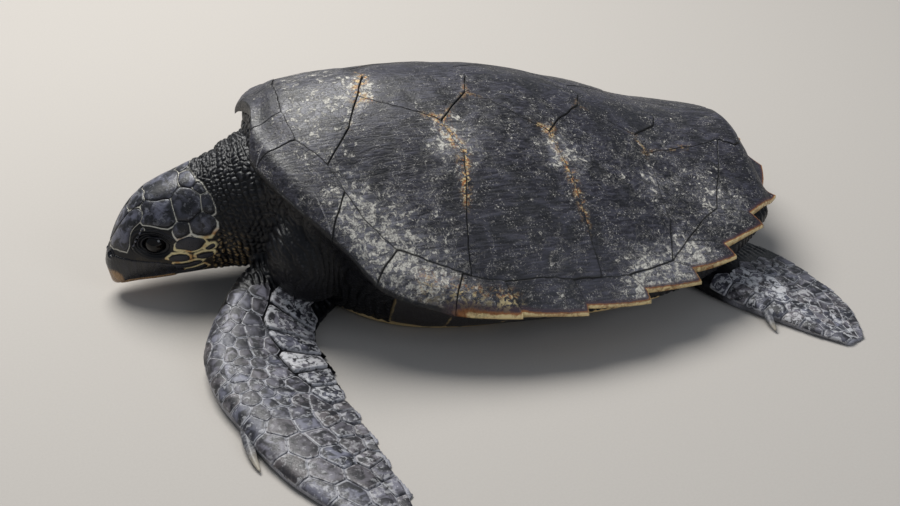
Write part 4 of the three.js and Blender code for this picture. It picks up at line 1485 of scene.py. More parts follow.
@dataclass
class HeadShields:
    """The large horn shields of the head, laid out on its crown and cheeks."""

    form: HeadForm = field(default_factory=HeadForm)
    arc: float = 1.02  # millimetres of skin for one degree round the head

    def place(self, plan: Array, height: Array) -> Array:
        """Points at a height over the head's skin, from its flat plan.

        Args:
            plan: Points of the flat plan.
            height: Heights in millimetres.

        Returns:
            Points in the row's frame.
        """
        ahead, angle = plan[:, 0], plan[:, 1] / self.arc
        here = self.form.skin_point(ahead, angle)
        on = self.form.skin_point(ahead + 0.5, angle) - self.form.skin_point(ahead - 0.5, angle)
        round_ = self.form.skin_point(ahead, angle + 0.5) - self.form.skin_point(ahead, angle - 0.5)
        return here + unit(np.cross(round_, on)) * height[:, None]

    def unwrap(self, plan: Array) -> Array:
        """Places of plan points on the head's unwrap."""
        return np.column_stack([(plan[:, 0] + 20) / 200, (plan[:, 1] + 150) / 300])

    def outlines(self) -> list[Array]:
        """The outline of every shield on the flat plan.

        Returns:
            One outline for each shield.
        """
        made = []
        for half in MIDDLE_SHIELDS.values():
            made.append(np.array([*half, *[(a, -b) for a, b in half[::-1] if b > 0]], float))
        for side in SIDE_SHIELDS.values():
            made += [np.array(side, float), np.array([(a, -b) for a, b in side], float)]
        turn = np.radians(np.arange(0, 360, 45) + 20)
        for k in range(5):
            bead = np.column_stack([89 + 4.3 * k + 2.5 * np.cos(turn), 53 + 3.2 * k + 2.2 * np.sin(turn)])
            made += [bead[::-1], bead * (1, -1)]
        return [outline * (1, self.arc) for outline in made]

    def seams(self, ahead: Array, angle: Array) -> Array:
        """How near each place of the head's skin is to a shield, from 1 beside it to 0 away from it.

        Args:
            ahead: Places along the head.
            angle: Degrees round it.

        Returns:
            One share for each place.
        """
        plan = np.column_stack([ahead, angle * self.arc])
        near = np.zeros(len(plan))
        for outline in self.outlines():
            low, high = outline.min(0) - 6, outline.max(0) + 6
            close = ((plan > low) & (plan < high)).all(1)
            reach = distance_to_line(plan[close], outline, closed=True)
            wide = 0.4 + 1.0 * smoothstep(np.abs(plan[close, 1]), 62, 85)
            near[close] = np.maximum(near[close], 1 - smoothstep(reach - wide, -0.4, 0.6))
        return near

    def shape(self) -> Shape:
        """All the shields as one mesh.

        Returns:
            The mesh.
        """
        shields = []
        for outline in self.outlines():
            ahead, degrees = outline.mean(0)
            low = float(smoothstep(abs(degrees), 62, 92))
            line = rounded(outline, min(0.5 + 0.9 * low, 0.12 * np.ptp(outline[:, 0])), 1)
            cut = ScaleCut(rise=1.0, crown=0.75, rings=7)
            own = abs(math.sin(ahead * 3.1 + abs(degrees) * 1.7))
            # Only the upper shields take the pale middle that is partly a painted sheen, and dust; the low
            # ones on the cheeks take neither.
            fields = {"own": (0.35 + 0.65 * own) * (1 - low), "scuff": 0.32 * (1 - low), "warm": 0.0}
            shields.append(scale_mesh(line, cut, self.place, np.array([-1.0, 0.0]), fields, self.unwrap))
        return merged([turned_out(shield) for shield in shields])

    def build(self) -> None:
        """Builds and dresses the shields."""
        horn = ScaleHorn(
            name="keratin_shield_smooth", roughness=0.36, dark="#121217", body="#22222a", bloom_and_sheen="#686978",
            dusty="#c3c4cc", dust=0.5, lip=0.0).make()
        self.shape().piece("head_shields", horn, "head_scales", [])


@dataclass
class Eye:
    """An eye: a dark ball with a raised clear front."""

    side: Side
    head: HeadForm = field(default_factory=HeadForm)
    cornea: float = 1.1
    look: tuple = (0.25, 1.0, 0.12)

    def build(self, finish: Material) -> None:
        """Builds and dresses the eye.

        Args:
            finish: The eye's finish.
        """
        ahead, across, up = self.head.eye_place
        out = unit(np.array([self.look[0], self.side.value * self.look[1], self.look[2]]))
        first = unit(np.cross(out, [0.0, 0.0, 1.0]))
        second = np.cross(out, first)
        rings, sides = 40, 56
        corners, disc = [], []
        for r in range(1, rings):
            polar = math.pi * r / rings
            turn = around(sides)
            ring = np.outer(np.cos(turn), first) + np.outer(np.sin(turn), second)
            aside = self.head.eye_radius * math.sin(polar) * 0.97
            front = polar < math.pi / 2
            rise = self.head.eye_front(aside) if front else self.head.eye_radius * math.cos(polar)
            rise += self.cornea * math.exp(-((polar / 0.5) ** 2))
            corners.append(rise * out + aside * ring)
            disc.append(np.full(sides, min(1, aside / 11)))
        own = np.concatenate(corners) + np.array([ahead, self.side.value * across, up])
        shape = lofted(self.head.place(own).reshape(-1, sides, 3), {"disc": np.concatenate(disc)})
        shape.piece(f"eye_{self.side.label}_wet", finish, "eye_gloss", [f"eye_{self.side.label}"])


# ---- Flippers ----


@dataclass(frozen=True)
class Spine:
    """The middle line of a flipper on the ground, as a centripetal spline read by its length."""

    knots: tuple

    def walk(self) -> tuple[Array, Array]:
        """Points along the line, and the share of its length at each.

        Returns:
            The points and their shares.
        """
        p = np.array(self.knots, float)
        p = np.concatenate([[2 * p[0] - p[1]], p, [2 * p[-1] - p[-2]]])
        line = []
        for i in range(1, len(p) - 2):
            a, b, c, d = p[i - 1 : i + 3]
            before, span, after = (math.sqrt(np.linalg.norm(e - s)) for s, e in ((a, b), (b, c), (c, d)))
            start = ((b - a) / before - (c - a) / (before + span) + (c - b) / span) * span
            end = ((c - b) / span - (d - b) / (span + after) + (d - c) / after) * span
            t = np.linspace(0, 1, 60, endpoint=False)[:, None]
            line.append((2 * t**3 - 3 * t**2 + 1) * b + (t**3 - 2 * t**2 + t) * start
                        + (3 * t**2 - 2 * t**3) * c + (t**3 - t**2) * end)
        line = np.concatenate([*line, p[-2:-1]])
        share = np.concatenate([[0], np.cumsum(np.linalg.norm(np.diff(line, axis=0), axis=1))])
        return line, share / share[-1]

    def length(self) -> float:
        """Length of the line."""
        line, _ = self.walk()
        return float(np.linalg.norm(np.diff(line, axis=0), axis=1).sum())

    def read(self, share: Array) -> tuple[Array, Array]:
        """Points and unit directions at shares of the length.

        Args:
            share: Shares from root to tip.

        Returns:
            The points and the directions.
        """
        line, own = self.walk()
        def at(s: Array) -> Array:
            """Points at shares, the line drawn on straight past its ends."""
            s = np.clip(s, 0, 1)
            return np.column_stack([np.interp(s, own, line[:, k]) for k in (0, 1)])
        share = np.asarray(share, float)
        way = at(share + 0.012) - at(share - 0.012)
        return at(share), unit(way)


class Limb(Enum):
    """The two pairs of flippers."""

    FRONT = "front"
    HIND = "hind"


@dataclass(frozen=True)
class FlipperSizes:
    """Chord and thickness of a flipper at even steps from root to tip, and its saw edge."""

    chord: tuple
    height: tuple
    teeth: int
    tooth_depth: float
    # Scales in groups: [rise of the free edge, push against other scales, dust, middles], the middles in
    # thousandths of length and chord. A group without a rise marks bare skin.
    scales: tuple


FRONT_SIZES = FlipperSizes(
    chord=(84, 100, 114, 128, 145, 148, 138, 133, 122, 101, 79, 49, 14),
    height=(100, 88, 70, 56, 45, 36, 30, 25, 21, 17, 13, 9, 6),
    teeth=12,
    tooth_depth=7,
    scales=(
        (None, 0, 0, ((170, 50), (190, 190), (175, 330), (155, 480), (125, 700), (110, 900), (240, 20))),
        (4.6, 22, 1.0, ((185, 740), (245, 740), (308, 800), (372, 820))),
        (3.0, 12, 0.8, ((437, 880), (495, 900))),
        (0.4, 0, 0.12, ((200, 400), (230, 210), (240, 310), (235, 420), (272, 270), (275, 380), (262, 110))),
        (
            0.4, 0, 0.35,
            (
                (282, 150), (300, 200), (290, 70), (316, 120), (312, 300), (303, 420), (328, 220), (340, 330),
                (338, 450), (342, 570), (330, 30), (346, 120), (360, 220), (364, 340), (360, 460), (368, 60),
                (384, 280), (390, 400), (386, 550),
            ),
        ),
        (
            0.6, 2, 0.5,
            (
                (404, 260), (398, 150), (405, 50), (420, 200), (420, 360), (418, 520), (444, 170), (434, 70),
                (450, 310), (454, 450), (470, 360), (462, 630), (482, 500), (460, 60), (476, 200), (504, 430),
                (510, 580), (510, 320), (522, 200), (532, 350), (542, 500), (500, 60), (540, 80), (520, 720),
            ),
        ),
        (
            1.0, 3, 0.4,
            (
                (608, 90), (672, 80), (746, 70), (820, 80), (895, 100), (965, 250), (568, 270), (634, 320),
                (715, 310), (790, 330), (870, 380), (940, 520), (576, 520), (622, 540),
            ),
        ),
        (1.6, 3, 0.5, ((685, 540), (757, 590), (825, 640), (895, 740), (570, 710), (612, 780), (662, 790))),
        (
            2.2, 1, 0.6,
            (
                (710, 840), (755, 890), (802, 920), (850, 930), (900, 950), (950, 920), (535, 930),
                (578, 930), (622, 960), (668, 970),
            ),
        ),
    ),
)
HIND_SIZES = FlipperSizes(
    chord=(108, 122, 136, 145, 138, 122, 102, 72, 26),
    height=(66, 56, 44, 33, 24, 18, 14, 10, 6),
    teeth=7,
    tooth_depth=4,
    scales=(
        (None, 0, 0, ((360, 30), (370, 170), (380, 330), (370, 500), (370, 660), (380, 820), (370, 970))),
        (1.6, 9, 0.75, ((430, 50), (522, 70), (598, 80), (680, 80), (772, 70), (850, 90), (940, 130))),
        (
            0.6, 0, 1.25,
            (
                (470, 210), (450, 320), (510, 250), (500, 360), (555, 240), (550, 360), (545, 470),
                (600, 270), (600, 400), (640, 300),
            ),
        ),
        (
            0.6, 0, 0.75,
            (
                (655, 460), (668, 610), (702, 470), (744, 550), (780, 300), (818, 390), (725, 200),
                (828, 510), (804, 700), (865, 400), (720, 340), (790, 460), (770, 620), (860, 600),
                (900, 340), (905, 500), (910, 660), (820, 220), (965, 450), (890, 200),
            ),
        ),
        (
            1.2, 1, 0.5,
            (
                (430, 440), (452, 550), (424, 700), (458, 800), (460, 950), (524, 900), (494, 600),
                (500, 740), (564, 580), (572, 720), (616, 600), (620, 760), (600, 920), (674, 770),
                (664, 940), (736, 930), (730, 760), (790, 900), (840, 840), (895, 850), (945, 850),
            ),
        ),
    ),
)
SPINES = {
    (Limb.FRONT, Side.LEFT): Spine((
        (-262, -50), (-312, -88), (-352, -138), (-371, -212), (-364, -270), (-347, -343), (-323, -422),
        (-292, -500), (-262, -604),
    )),
    (Limb.FRONT, Side.RIGHT): Spine((
        (-252, 45), (-300, 92), (-310, 165), (-272, 245), (-195, 306), (-98, 352), (10, 390), (70, 405),
    )),
    (Limb.HIND, Side.LEFT): Spine(((188, -72), (259, -138), (297, -200), (329, -260), (356, -338))),
    (Limb.HIND, Side.RIGHT): Spine(((185, 80), (240, 140), (272, 190), (300, 240), (318, 285), (330, 325))),
}
FLIPPER_SECTION = ((0, 0.45), (0.06, 0.82), (0.22, 1), (0.45, 0.86), (0.7, 0.52), (0.93, 0.2), (1.0, 0.13))


@dataclass
class Flipper:
    """A flipper: a tapering blade on the ground, with rows of horn scales on its upper side."""

    limb: Limb
    side: Side
    skin: BVHTree | None = None  # the smooth skin that the scales lie on

    @property
    def sizes(self) -> FlipperSizes:
        """Sizes of this pair."""
        return FRONT_SIZES if self.limb is Limb.FRONT else HIND_SIZES

    @property
    def spine(self) -> Spine:
        """Its middle line."""
        return SPINES[self.limb, self.side]

    def even(self, values: tuple, share: Array) -> Array:
        """Reads a size given at even steps."""
        return curve(tuple(zip(np.linspace(0, 1, len(values)), values)), share)

    def blade(self, share: Array, part: Array, toothed: float = 1.0) -> Array:
        """Points of the upper side.

        Args:
            share: Shares of the length from root to tip.
            part: Shares of the chord from the leading to the trailing edge.
            toothed: 0 for an edge without its teeth.

        Returns:
            The points in the row's frame.
        """
        centre, along = self.spine.read(share)
        leading = np.column_stack([along[:, 1], -along[:, 0]]) * (1 if self.side is Side.LEFT else -1)
        sizes = self.sizes
        wide, high = self.even(sizes.chord, share), self.even(sizes.height, share)
        phase = (share * sizes.teeth) % 1
        tooth = toothed * sizes.tooth_depth * phase * smoothstep(share, 0.22, 0.32)
        tooth *= 1 - smoothstep(share, 0.95, 0.99)
        reach = wide * (0.5 - part) - tooth * part**3
        plan = centre + leading * reach[:, None]
        rise = curve(FLIPPER_SECTION, part) * high
        return np.column_stack([plan, np.maximum(3, rise)])

    def flesh(self) -> Shape:
        """The flipper's body, to be grown into the skin.

        Returns:
            The closed shape.
        """
        share = np.linspace(0, 1, 150)
        upper, lower = [0.0, 0.015, 0.04, *np.linspace(0.08, 1, 22)], [0.97, 0.7, 0.4, 0.1, 0.03]
        lines = np.stack([self.blade(share, np.full_like(share, part)) for part in upper + lower], axis=1)
        lines[:, len(upper):, 2] = 0.0
        return lofted(lines)

    def place(self, plan: Array, height: Array) -> Array:
        """Points at a height over the blade, from its flat plan in millimetres.

        Args:
            plan: Points of the flat plan.
            height: Heights in millimetres.

        Returns:
            Points in the row's frame.
        """
        length, chord = self.spine.length(), max(self.sizes.chord)
        share, part = np.clip(plan[:, 0] / length, 0, 1), np.clip(plan[:, 1] / chord, 0.004, 1)
        here = self.blade(share, part, 0)
        on = self.blade(share + 0.02, part, 0) - self.blade(share - 0.02, part, 0)
        after, before = np.minimum(part + 0.05, 1), np.maximum(part - 0.05, 0)
        over = self.blade(share, after, 0) - self.blade(share, before, 0)
        normal = np.cross(on, over)
        normal = unit(normal * np.sign(normal[:, 2:3]))
        for k, (start, way) in enumerate(zip(here + 16 * normal, -normal)):
            hit = self.skin.ray_cast(Vector(start), Vector(way), 40)[0]
            if hit is not None:
                here[k] = hit
        moved = here + normal * height[:, None]
        moved[:, 2] = np.maximum(moved[:, 2], 0.4)
        return moved

    def scales(self) -> Shape:
        """The scales as one mesh.

        Returns:
            The mesh.
        """
        length, chord = self.spine.length(), max(self.sizes.chord)
        random = np.random.default_rng(41 + 10 * self.side.value + len(self.limb.value))
        seeds, kinds = [], []
        for rise, push, dust, middles in self.sizes.scales:
            for share, part in middles:
                jitter = random.uniform(-1.2, 1.2, 2)
                seeds.append((share / 1000 * length + jitter[0], part / 1000 * chord + jitter[1]))
                kinds.append((rise, push, dust))
        seeds = np.array(seeds)
        def unwrap(plan: Array) -> Array:
            """Places of plan points on the flipper's unwrap."""
            return np.column_stack([plan[:, 0] / length, plan[:, 1] / (1.2 * chord)])
        made = []
        pushes = np.array([push for _, push, _ in kinds], float)
        cells = voronoi(seeds, pushes, (0.0, 0.992 * length, 0.0, chord * 0.995))
        for cell, seed, (rise, push, dust) in zip(cells, seeds, kinds):
            if rise is None or len(cell) < 3:
                continue
            squeeze = self.even(self.sizes.chord, seed[:1] / length)[0] / chord
            big = float(smoothstep(rise, 0.7, 2.0))
            outline = rounded(cell, 0.3 + 0.7 * big + 1.2 * float(smoothstep(rise, 2, 4)))
            cut = ScaleCut(rise=0.45 + 1.3 * big, crown=0.55 + 0.8 * big, tilt=rise * max(squeeze, 0.35))
            free = np.array([1.0, 0.35 if seed[1] > 0.5 * chord else -0.1])
            fields = {
                "own": random.uniform(0.2, 1), "scuff": dust * random.uniform(0.6, 1),
                "warm": random.uniform(0, 0.12)
            }
            made.append(scale_mesh(outline, cut, self.place, free / np.linalg.norm(free), fields, unwrap))
        return merged(made)

    def build(self, horn: Material) -> None:
        """Builds and dresses the scales."""
        self.scales().piece(f"scales_{self.limb.value}_{self.side.label}", horn, "flipper_scales", [])


# Share of the flipper's length, chord there, claw's length, splay and half-thickness.
CLAW_SIZES = {Limb.FRONT: (0.535, 134, 62, 0.12, 9.5), Limb.HIND: (0.67, 114, 24, 0.6, 6.5)}


@dataclass
class Claw:
    """The claw in a flipper's leading edge."""

    limb: Limb
    side: Side

    def build(self, horn: Material) -> None:
        """Builds and dresses the claw.

        Args:
            horn: The claw's finish.
        """
        share, chord, size, splay, thick = CLAW_SIZES[self.limb]
        centre, along = (v[0] for v in SPINES[self.limb, self.side].read(np.array([share])))
        leading = np.array([along[1], -along[0]]) * (1 if self.side is Side.LEFT else -1)
        def at(ahead: float, out: float, z: float) -> Array:
            """A point of the claw's line."""
            return np.append(centre + leading * (chord / 2 + out * size) + along * ahead * size, z)
        root, bend, tip = at(-0.4, -0.24, 9), at(0.3, 0.05 + splay / 2, 10), at(1, splay, 4)
        steps, sides = 26, 20
        t = np.linspace(0, 1, steps)[:, None]
        line = root * (1 - t) ** 2 + 2 * bend * t * (1 - t) + tip * t * t
        way = unit(np.gradient(line, axis=0))
        aside = unit(np.cross(way, [0, 0, 1.0]))
        over = np.cross(aside, way)
        radius = thick * (1 - t) ** 0.7 + 0.7
        turn = around(sides)
        ridge = 1 + 0.06 * np.cos(5 * turn)
        spoke = np.cos(turn)[:, None] * aside[:, None] + 0.72 * np.sin(turn)[:, None] * over[:, None]
        rings = line[:, None] + radius[:, None] * ridge[:, None] * spoke
        rings[..., 2] = np.maximum(rings[..., 2], 0.3)
        shape = lofted(rings, {"along": np.repeat(t[:, 0], sides)})
        name = f"claw_{self.limb.value}_{self.side.label}"
        shape.piece(f"{name}_horn", horn, "claw_horn", [name])


# ---- Skin ----


@dataclass
class Skin:
    """The one skin over trunk, neck, head, flippers and tail."""

    shell: ShellForm = field(default_factory=ShellForm)
    head: HeadForm = field(default_factory=HeadForm)
    voxel: float = 2.6
    under_shell: float = 8.5
    pleat: float = 7.4  # spacing of the neck's folds
    neck_cobble: float = 7.0
    body_cobble: float = 4.4
    crease: float = 8  # spacing of the shoulders' creases
    fine_crease: float = 3.6
    swag: float = 21  # spacing of the large folds behind the head
    nostril: tuple = (139.5, 34.0)  # ahead along the head, degrees from the crown
    # Where the shields end: [degrees from the crown, ahead along the head].
    shield_edge: tuple = (
        (0, 16), (12, 9), (28, 2), (45, -5), (62, -9), (72, -7), (84, 2), (98, 9), (118, 15), (180, 20),
    )
    lid_half_width: float = 14.6
    lid_heights: tuple = (10.6, 9.6)  # of the almond above and below the eye's middle
    lid_folds: tuple = ((1.13, 0.12, 1.6), (1.4, 0.13, 1.6), (1.7, 0.15, 1.3), (2.05, 0.17, 0.8))
    neck_stations: tuple = (
        (-270, 130, 102, 84), (-310, 124, 92, 87), (-350, 119, 82, 86), (-380, 112, 68, 82),
        (-397, 107, 57, 74),
    )
    trunk_stations: tuple = (
        (-344, 84, 62, 118), (-316, 112, 70, 44), (-290, 132, 96, 26), (-258, 150, 122, 12),
        (-205, 178, 160, 5), (-130, 200, 178, 5), (-50, 208, 184, 5), (50, 208, 184, 5), (130, 190, 168, 5),
        (200, 165, 140, 8), (255, 120, 84, 14), (290, 84, 50, 28), (316, 54, 30, 46),
    )
    shoulder: tuple = (-292, 116, 96)
    shoulder_radii: tuple = (56, 54, 64)
    tail_line: tuple = ((232, 52), (300, 46), (350, 18))
    smooth: BVHTree | None = None

    def trunk(self) -> Shape:
        """The trunk under the shell.

        Returns:
            The closed shape.
        """
        table = np.array(self.trunk_stations, float)
        stations = np.linspace(table[0, 0], table[-1, 0], 120)
        wall, foot, low = (np.interp(stations, table[:, 0], table[:, k]) for k in (1, 2, 3))
        brim = 0.92 * self.shell.width_at(stations)
        brim_height = curve(self.shell.rim, stations) - 12
        rows = []
        for k in range(25):
            y = brim * math.cos(math.pi * k / 24)
            z = self.shell.height(stations, y) - self.under_shell
            rows.append(np.column_stack([stations, y, z]))
        drop = brim_height - low
        flank = [(brim, brim_height), ((brim + wall) / 2, brim_height * 0.78 + 0.22 * low),
                 (wall, low + 0.45 * drop), ((wall + foot) / 2 + 3, low + 0.2 * drop), (foot, low)]
        rows += [np.column_stack([stations, -y, z]) for y, z in flank]
        rows += [np.column_stack([stations, y, z]) for y, z in flank[::-1]]
        return lofted(np.stack(rows, axis=1))

    def neck(self) -> Shape:
        """The neck.

        Returns:
            The closed shape.
        """
        table = np.array(self.neck_stations[::-1], float)
        x = np.linspace(-404, -270, 60)
        z, wide, high = (curve(table[:, [0, k]], np.clip(x, -402, -270)) for k in (1, 2, 3))
        turn = around(64)
        c, s = np.cos(turn), np.sin(turn)
        y = wide[:, None] * (np.sign(c) * np.abs(c) ** 0.9)[None]
        rise = z[:, None] + high[:, None] * (np.sign(s) * np.abs(s) ** 0.9)[None]
        return lofted(np.stack([np.repeat(x[:, None], 64, 1), y, rise], axis=2))

    def skull(self) -> Shape:
        """The head.

        Returns:
            The closed shape.
        """
        ahead = np.concatenate([np.linspace(-12, 136, 60), np.linspace(138, 150, 8)])
        angle = np.arange(72) * 5.0
        return lofted(np.stack([self.head.skin_point(np.full(72, a), angle) for a in ahead]))

    def ball(self, centre: tuple, radii: tuple) -> Shape:
        """A ball, drawn out along the axes.

        Args:
            centre: Its middle.
            radii: Its half-widths.

        Returns:
            The closed shape.
        """
        rings, sides = 24, 36
        polar = np.pi * np.arange(1, rings) / rings
        turn = around(sides)
        x, y = np.outer(np.sin(polar), np.cos(turn)), np.outer(np.sin(polar), np.sin(turn))
        z = np.repeat(np.cos(polar)[:, None], sides, 1)
        return lofted(np.stack([x, y, z], axis=2) * radii + centre)

    def tail(self) -> Shape:
        """The short tail.

        Returns:
            The closed shape.
        """
        a, b, c = (np.array([x, 0.0, z]) for x, z in self.tail_line)
        t = np.linspace(0, 1, 40)[:, None]
        line = a * (1 - t) ** 2 + 2 * b * t * (1 - t) + c * t * t
        radius = 34 - 29 * t
        turn = around(28)
        ring = np.stack([np.zeros(28), np.cos(turn), np.sin(turn)], axis=1)
        return lofted(line[:, None] + radius[:, None] * ring)

    def grown(self) -> tuple[Array, Array]:
        """Grows all the flesh into one closed skin.

        Returns:
            Its corners in millimetres and its four-sided faces.
        """
        parts = [self.trunk(), self.neck(), self.skull(), self.tail()]
        x, y, z = self.shoulder
        parts += [self.ball((x, side.value * y, z), self.shoulder_radii) for side in Side]
        parts += [Flipper(limb, side).flesh() for limb in Limb for side in Side]
        rough = merged([Shape(p.corners, p.faces) for p in parts])
        mesh = bpy.data.meshes.new("flesh")
        mesh.from_pydata((rough.corners * MM).tolist(), [], rough.faces)
        body = bpy.data.objects.new("flesh", mesh)
        bpy.context.scene.collection.objects.link(body)
        remesh = body.modifiers.new("grow", "REMESH")
        remesh.mode, remesh.voxel_size, remesh.adaptivity = "VOXEL", self.voxel * MM, 0.0
        made = bpy.data.meshes.new_from_object(body.evaluated_get(bpy.context.evaluated_depsgraph_get()))
        bpy.data.objects.remove(body)
        corners = np.zeros(len(made.vertices) * 3)
        made.vertices.foreach_get("co", corners)
        loops = np.zeros(len(made.loops), np.int32)
        made.loops.foreach_get("vertex_index", loops)
        bpy.data.meshes.remove(made)
        return corners.reshape(-1, 3) / MM, loops.reshape(-1, 4)

    def smoothed(self, corners: Array, faces: Array, rounds: int) -> Array:
        """Evens out corners over their neighbours.

        Args:
            corners: Corners of the skin.
            faces: Its four-sided faces.
            rounds: How often.

        Returns:
            The corners.
        """
        edges = np.concatenate([faces[:, [0, 1]], faces[:, [1, 2]], faces[:, [2, 3]], faces[:, [3, 0]]])
        count = np.bincount(edges.ravel(), minlength=len(corners))[:, None]
        for k in range(rounds):
            total = np.zeros_like(corners)
            for axis in range(3):
                total[:, axis] = np.bincount(edges[:, 0], corners[edges[:, 1], axis], len(corners))
                total[:, axis] += np.bincount(edges[:, 1], corners[edges[:, 0], axis], len(corners))
            corners = corners + (0.6 if k % 2 == 0 or k > 8 else -0.4) * (total / count - corners)
        return corners

    def refined(self, corners: Array, faces: Array, chosen: Array) -> tuple[Array, Array, list]:
        """Splits the chosen faces in four, and fits their neighbours to them.

        Args:
            corners: Corners of the skin.
            faces: Its four-sided faces.
            chosen: Which of them are split.

        Returns:
            The corners, the four-sided faces, and the fitted neighbours.
        """
        edges = np.sort(np.stack([faces, np.roll(faces, -1, axis=1)], axis=2).reshape(-1, 2), axis=1)
        keys = edges[:, 0].astype(np.int64) * len(corners) + edges[:, 1]
        unique, where = np.unique(keys, return_inverse=True)
        where = where.reshape(-1, 4)
        split = np.zeros(len(unique), bool)
        split[where[chosen].ravel()] = True
        number = np.full(len(unique), -1)
        number[split] = len(corners) + np.arange(split.sum())
        ends = np.stack([unique // len(corners), unique % len(corners)], axis=1)[split]
        middles = corners[ends].mean(1)
        centre = len(corners) + len(middles) + np.arange(chosen.sum())
        own, mids = faces[chosen], number[where[chosen]]
        made = [np.column_stack([own[:, k], mids[:, k], centre, mids[:, k - 1]]) for k in range(4)]
        rest, rest_mids = faces[~chosen], number[where[~chosen]]
        plain = (rest_mids < 0).all(1)
        fitted = []
        for quad, mid in zip(rest[~plain].tolist(), rest_mids[~plain].tolist()):
            ring = []
            for k in range(4):
                ring.append(quad[k])
                if mid[k] >= 0:
                    ring.append(mid[k])
            fitted.append(ring)
        corners = np.concatenate([corners, middles, corners[own].mean(1)])
        return corners, np.concatenate([*made, rest[plain]]), fitted

    def normals(self, corners: Array, faces: list) -> Array:
        """Normals of the skin at its corners.

        Args:
            corners: Corners of the skin.
            faces: Its faces.

        Returns:
            One normal for each corner.
        """
        mesh = bpy.data.meshes.new("normals")
        mesh.from_pydata(corners.tolist(), [], faces)
        found = np.zeros(len(corners) * 3)
        mesh.vertex_normals.foreach_get("vector", found)
        bpy.data.meshes.remove(mesh)
        return found.reshape(-1, 3)

    def build(self) -> Shape:
        """Grows, sculpts and dresses the skin.

        Returns:
            The sculpted skin.
        """
        corners, faces = self.grown()
        corners = self.smoothed(corners, faces, 8)
        loose = smoothstep(-corners[:, 0], 235, 275) * (1 - smoothstep(-corners[:, 0], 372, 392))
        loose *= smoothstep(corners[:, 2], 45, 75)
        corners = corners + loose[:, None] * (self.smoothed(corners, faces, 70) - corners)
        fitted = []
        for reach in (None, 36, 24):
            middle = corners[faces].mean(1)
            if reach is None:
                chosen = (middle[:, 0] < -200) & (np.abs(middle[:, 1]) < 215) & (middle[:, 2] > 14)
            else:
                chosen = np.zeros(len(middle), bool)
                for side in Side:
                    ahead, across, up = self.head.eye_place
                    eye = self.head.place(np.array([[ahead, side.value * (across + 8), up]]))[0]
                    chosen |= np.linalg.norm(middle - eye, axis=1) < reach
                    nostril = self.head.skin_point(np.array([139.0]), np.array([side.value * 34.0]))[0]
                    chosen |= np.linalg.norm(middle - nostril, axis=1) < reach / 3
            corners, faces, more = self.refined(corners, faces, chosen)
            fitted += more
        lists = faces.tolist() + fitted
        normal = self.normals(corners, lists)
        self.smooth = BVHTree.FromPolygons(corners.tolist(), lists)
        shape = self.sculpted(corners, normal)
        shape.faces = lists
        flesh = ["trunk", "neck", "head", "tail", *(f"arm_{side.label}" for side in Side)]
        flesh += [f"flipper_{limb.value}_{side.label}" for limb in Limb for side in Side]
        shape.piece("skin", LeatheryHide().make(), "dark_skin", flesh)
        shape.fields["normal"] = self.normals(shape.corners, lists)
        return shape

    def sculpted(self, corners: Array, normal: Array) -> Shape:
        """Moves the skin's corners into folds, cobbles and lids.

        Args:
            corners: Corners of the smooth skin.
            normal: Their normals.

        Returns:
            The sculpted corners, with the fields of the skin's finish.
        """
        own = self.head.own(corners)
        ahead, side, up = own.T
        angle = self.head.angle_at(own)
        rear = curve(self.shield_edge, np.abs(angle))
        in_reach = (np.abs(side) < 72) * (np.abs(up) < 95)
        on_head = smoothstep(ahead - rear, 0, 4) * in_reach
        x, y, z = corners.T
        on_neck = smoothstep(-x, 262, 300) * (1 - on_head) * (1 - smoothstep(np.abs(y), 110, 165))
        round_neck = np.degrees(np.arctan2(y, z - 115))
        bent = x + 0.2 * (z - 115) + 6 * noise(corners, 55, 4) + 2.2 * noise(corners, 11, 17)
        round_rows = round_neck * 1.35 / self.neck_cobble + 0.8 * noise(corners, 20, 8)
        knobs, owner = cobbles(np.column_stack([bent / self.pleat, round_rows]), 5, 0.85)
        neck_relief = smoothstep(knobs, 0.0, 0.24)
        folds = np.abs(np.sin(np.pi * bent / self.pleat))
        grains, grain_owner = cobbles(corners / self.body_cobble + 0.35 * noise(corners, 20, 12)[:, None], 8)
        wrinkle = smoothstep(grains, 0.0, 0.22)
        drape = x * 0.8 + y * 0.35 + 12 * noise(corners, 60, 14) + 3 * noise(corners, 14, 15)
        creases = np.abs(np.sin(np.pi * drape / self.crease))
        pale, scaled = self.on_flippers(corners)
        on_neck = on_neck * (1 - scaled)
        plain = (1 - on_head) * (1 - on_neck) * (1 - scaled)
        lines = np.abs(np.sin(np.pi * (drape / self.fine_crease + 0.6 * noise(corners, 18, 19))))
        off_ground = smoothstep(z, 1.5, 8)
        swags = np.abs(np.sin(np.pi * (bent / self.swag + 0.35 * noise(corners, 70, 16))))
        swag_depth = 1.2 + 1.8 * smoothstep(z, 120, 165)
        move = on_neck * (
            1.7 * (neck_relief - 0.6) + 1.5 * (folds**0.45 - 0.6) + swag_depth * (swags**0.5 - 0.7)
        )
        move += plain * off_ground * (
            0.6 * (wrinkle - 0.6) + 2.6 * (creases**0.45 - 0.6) + 0.8 * (lines**0.5 - 0.6)
        )
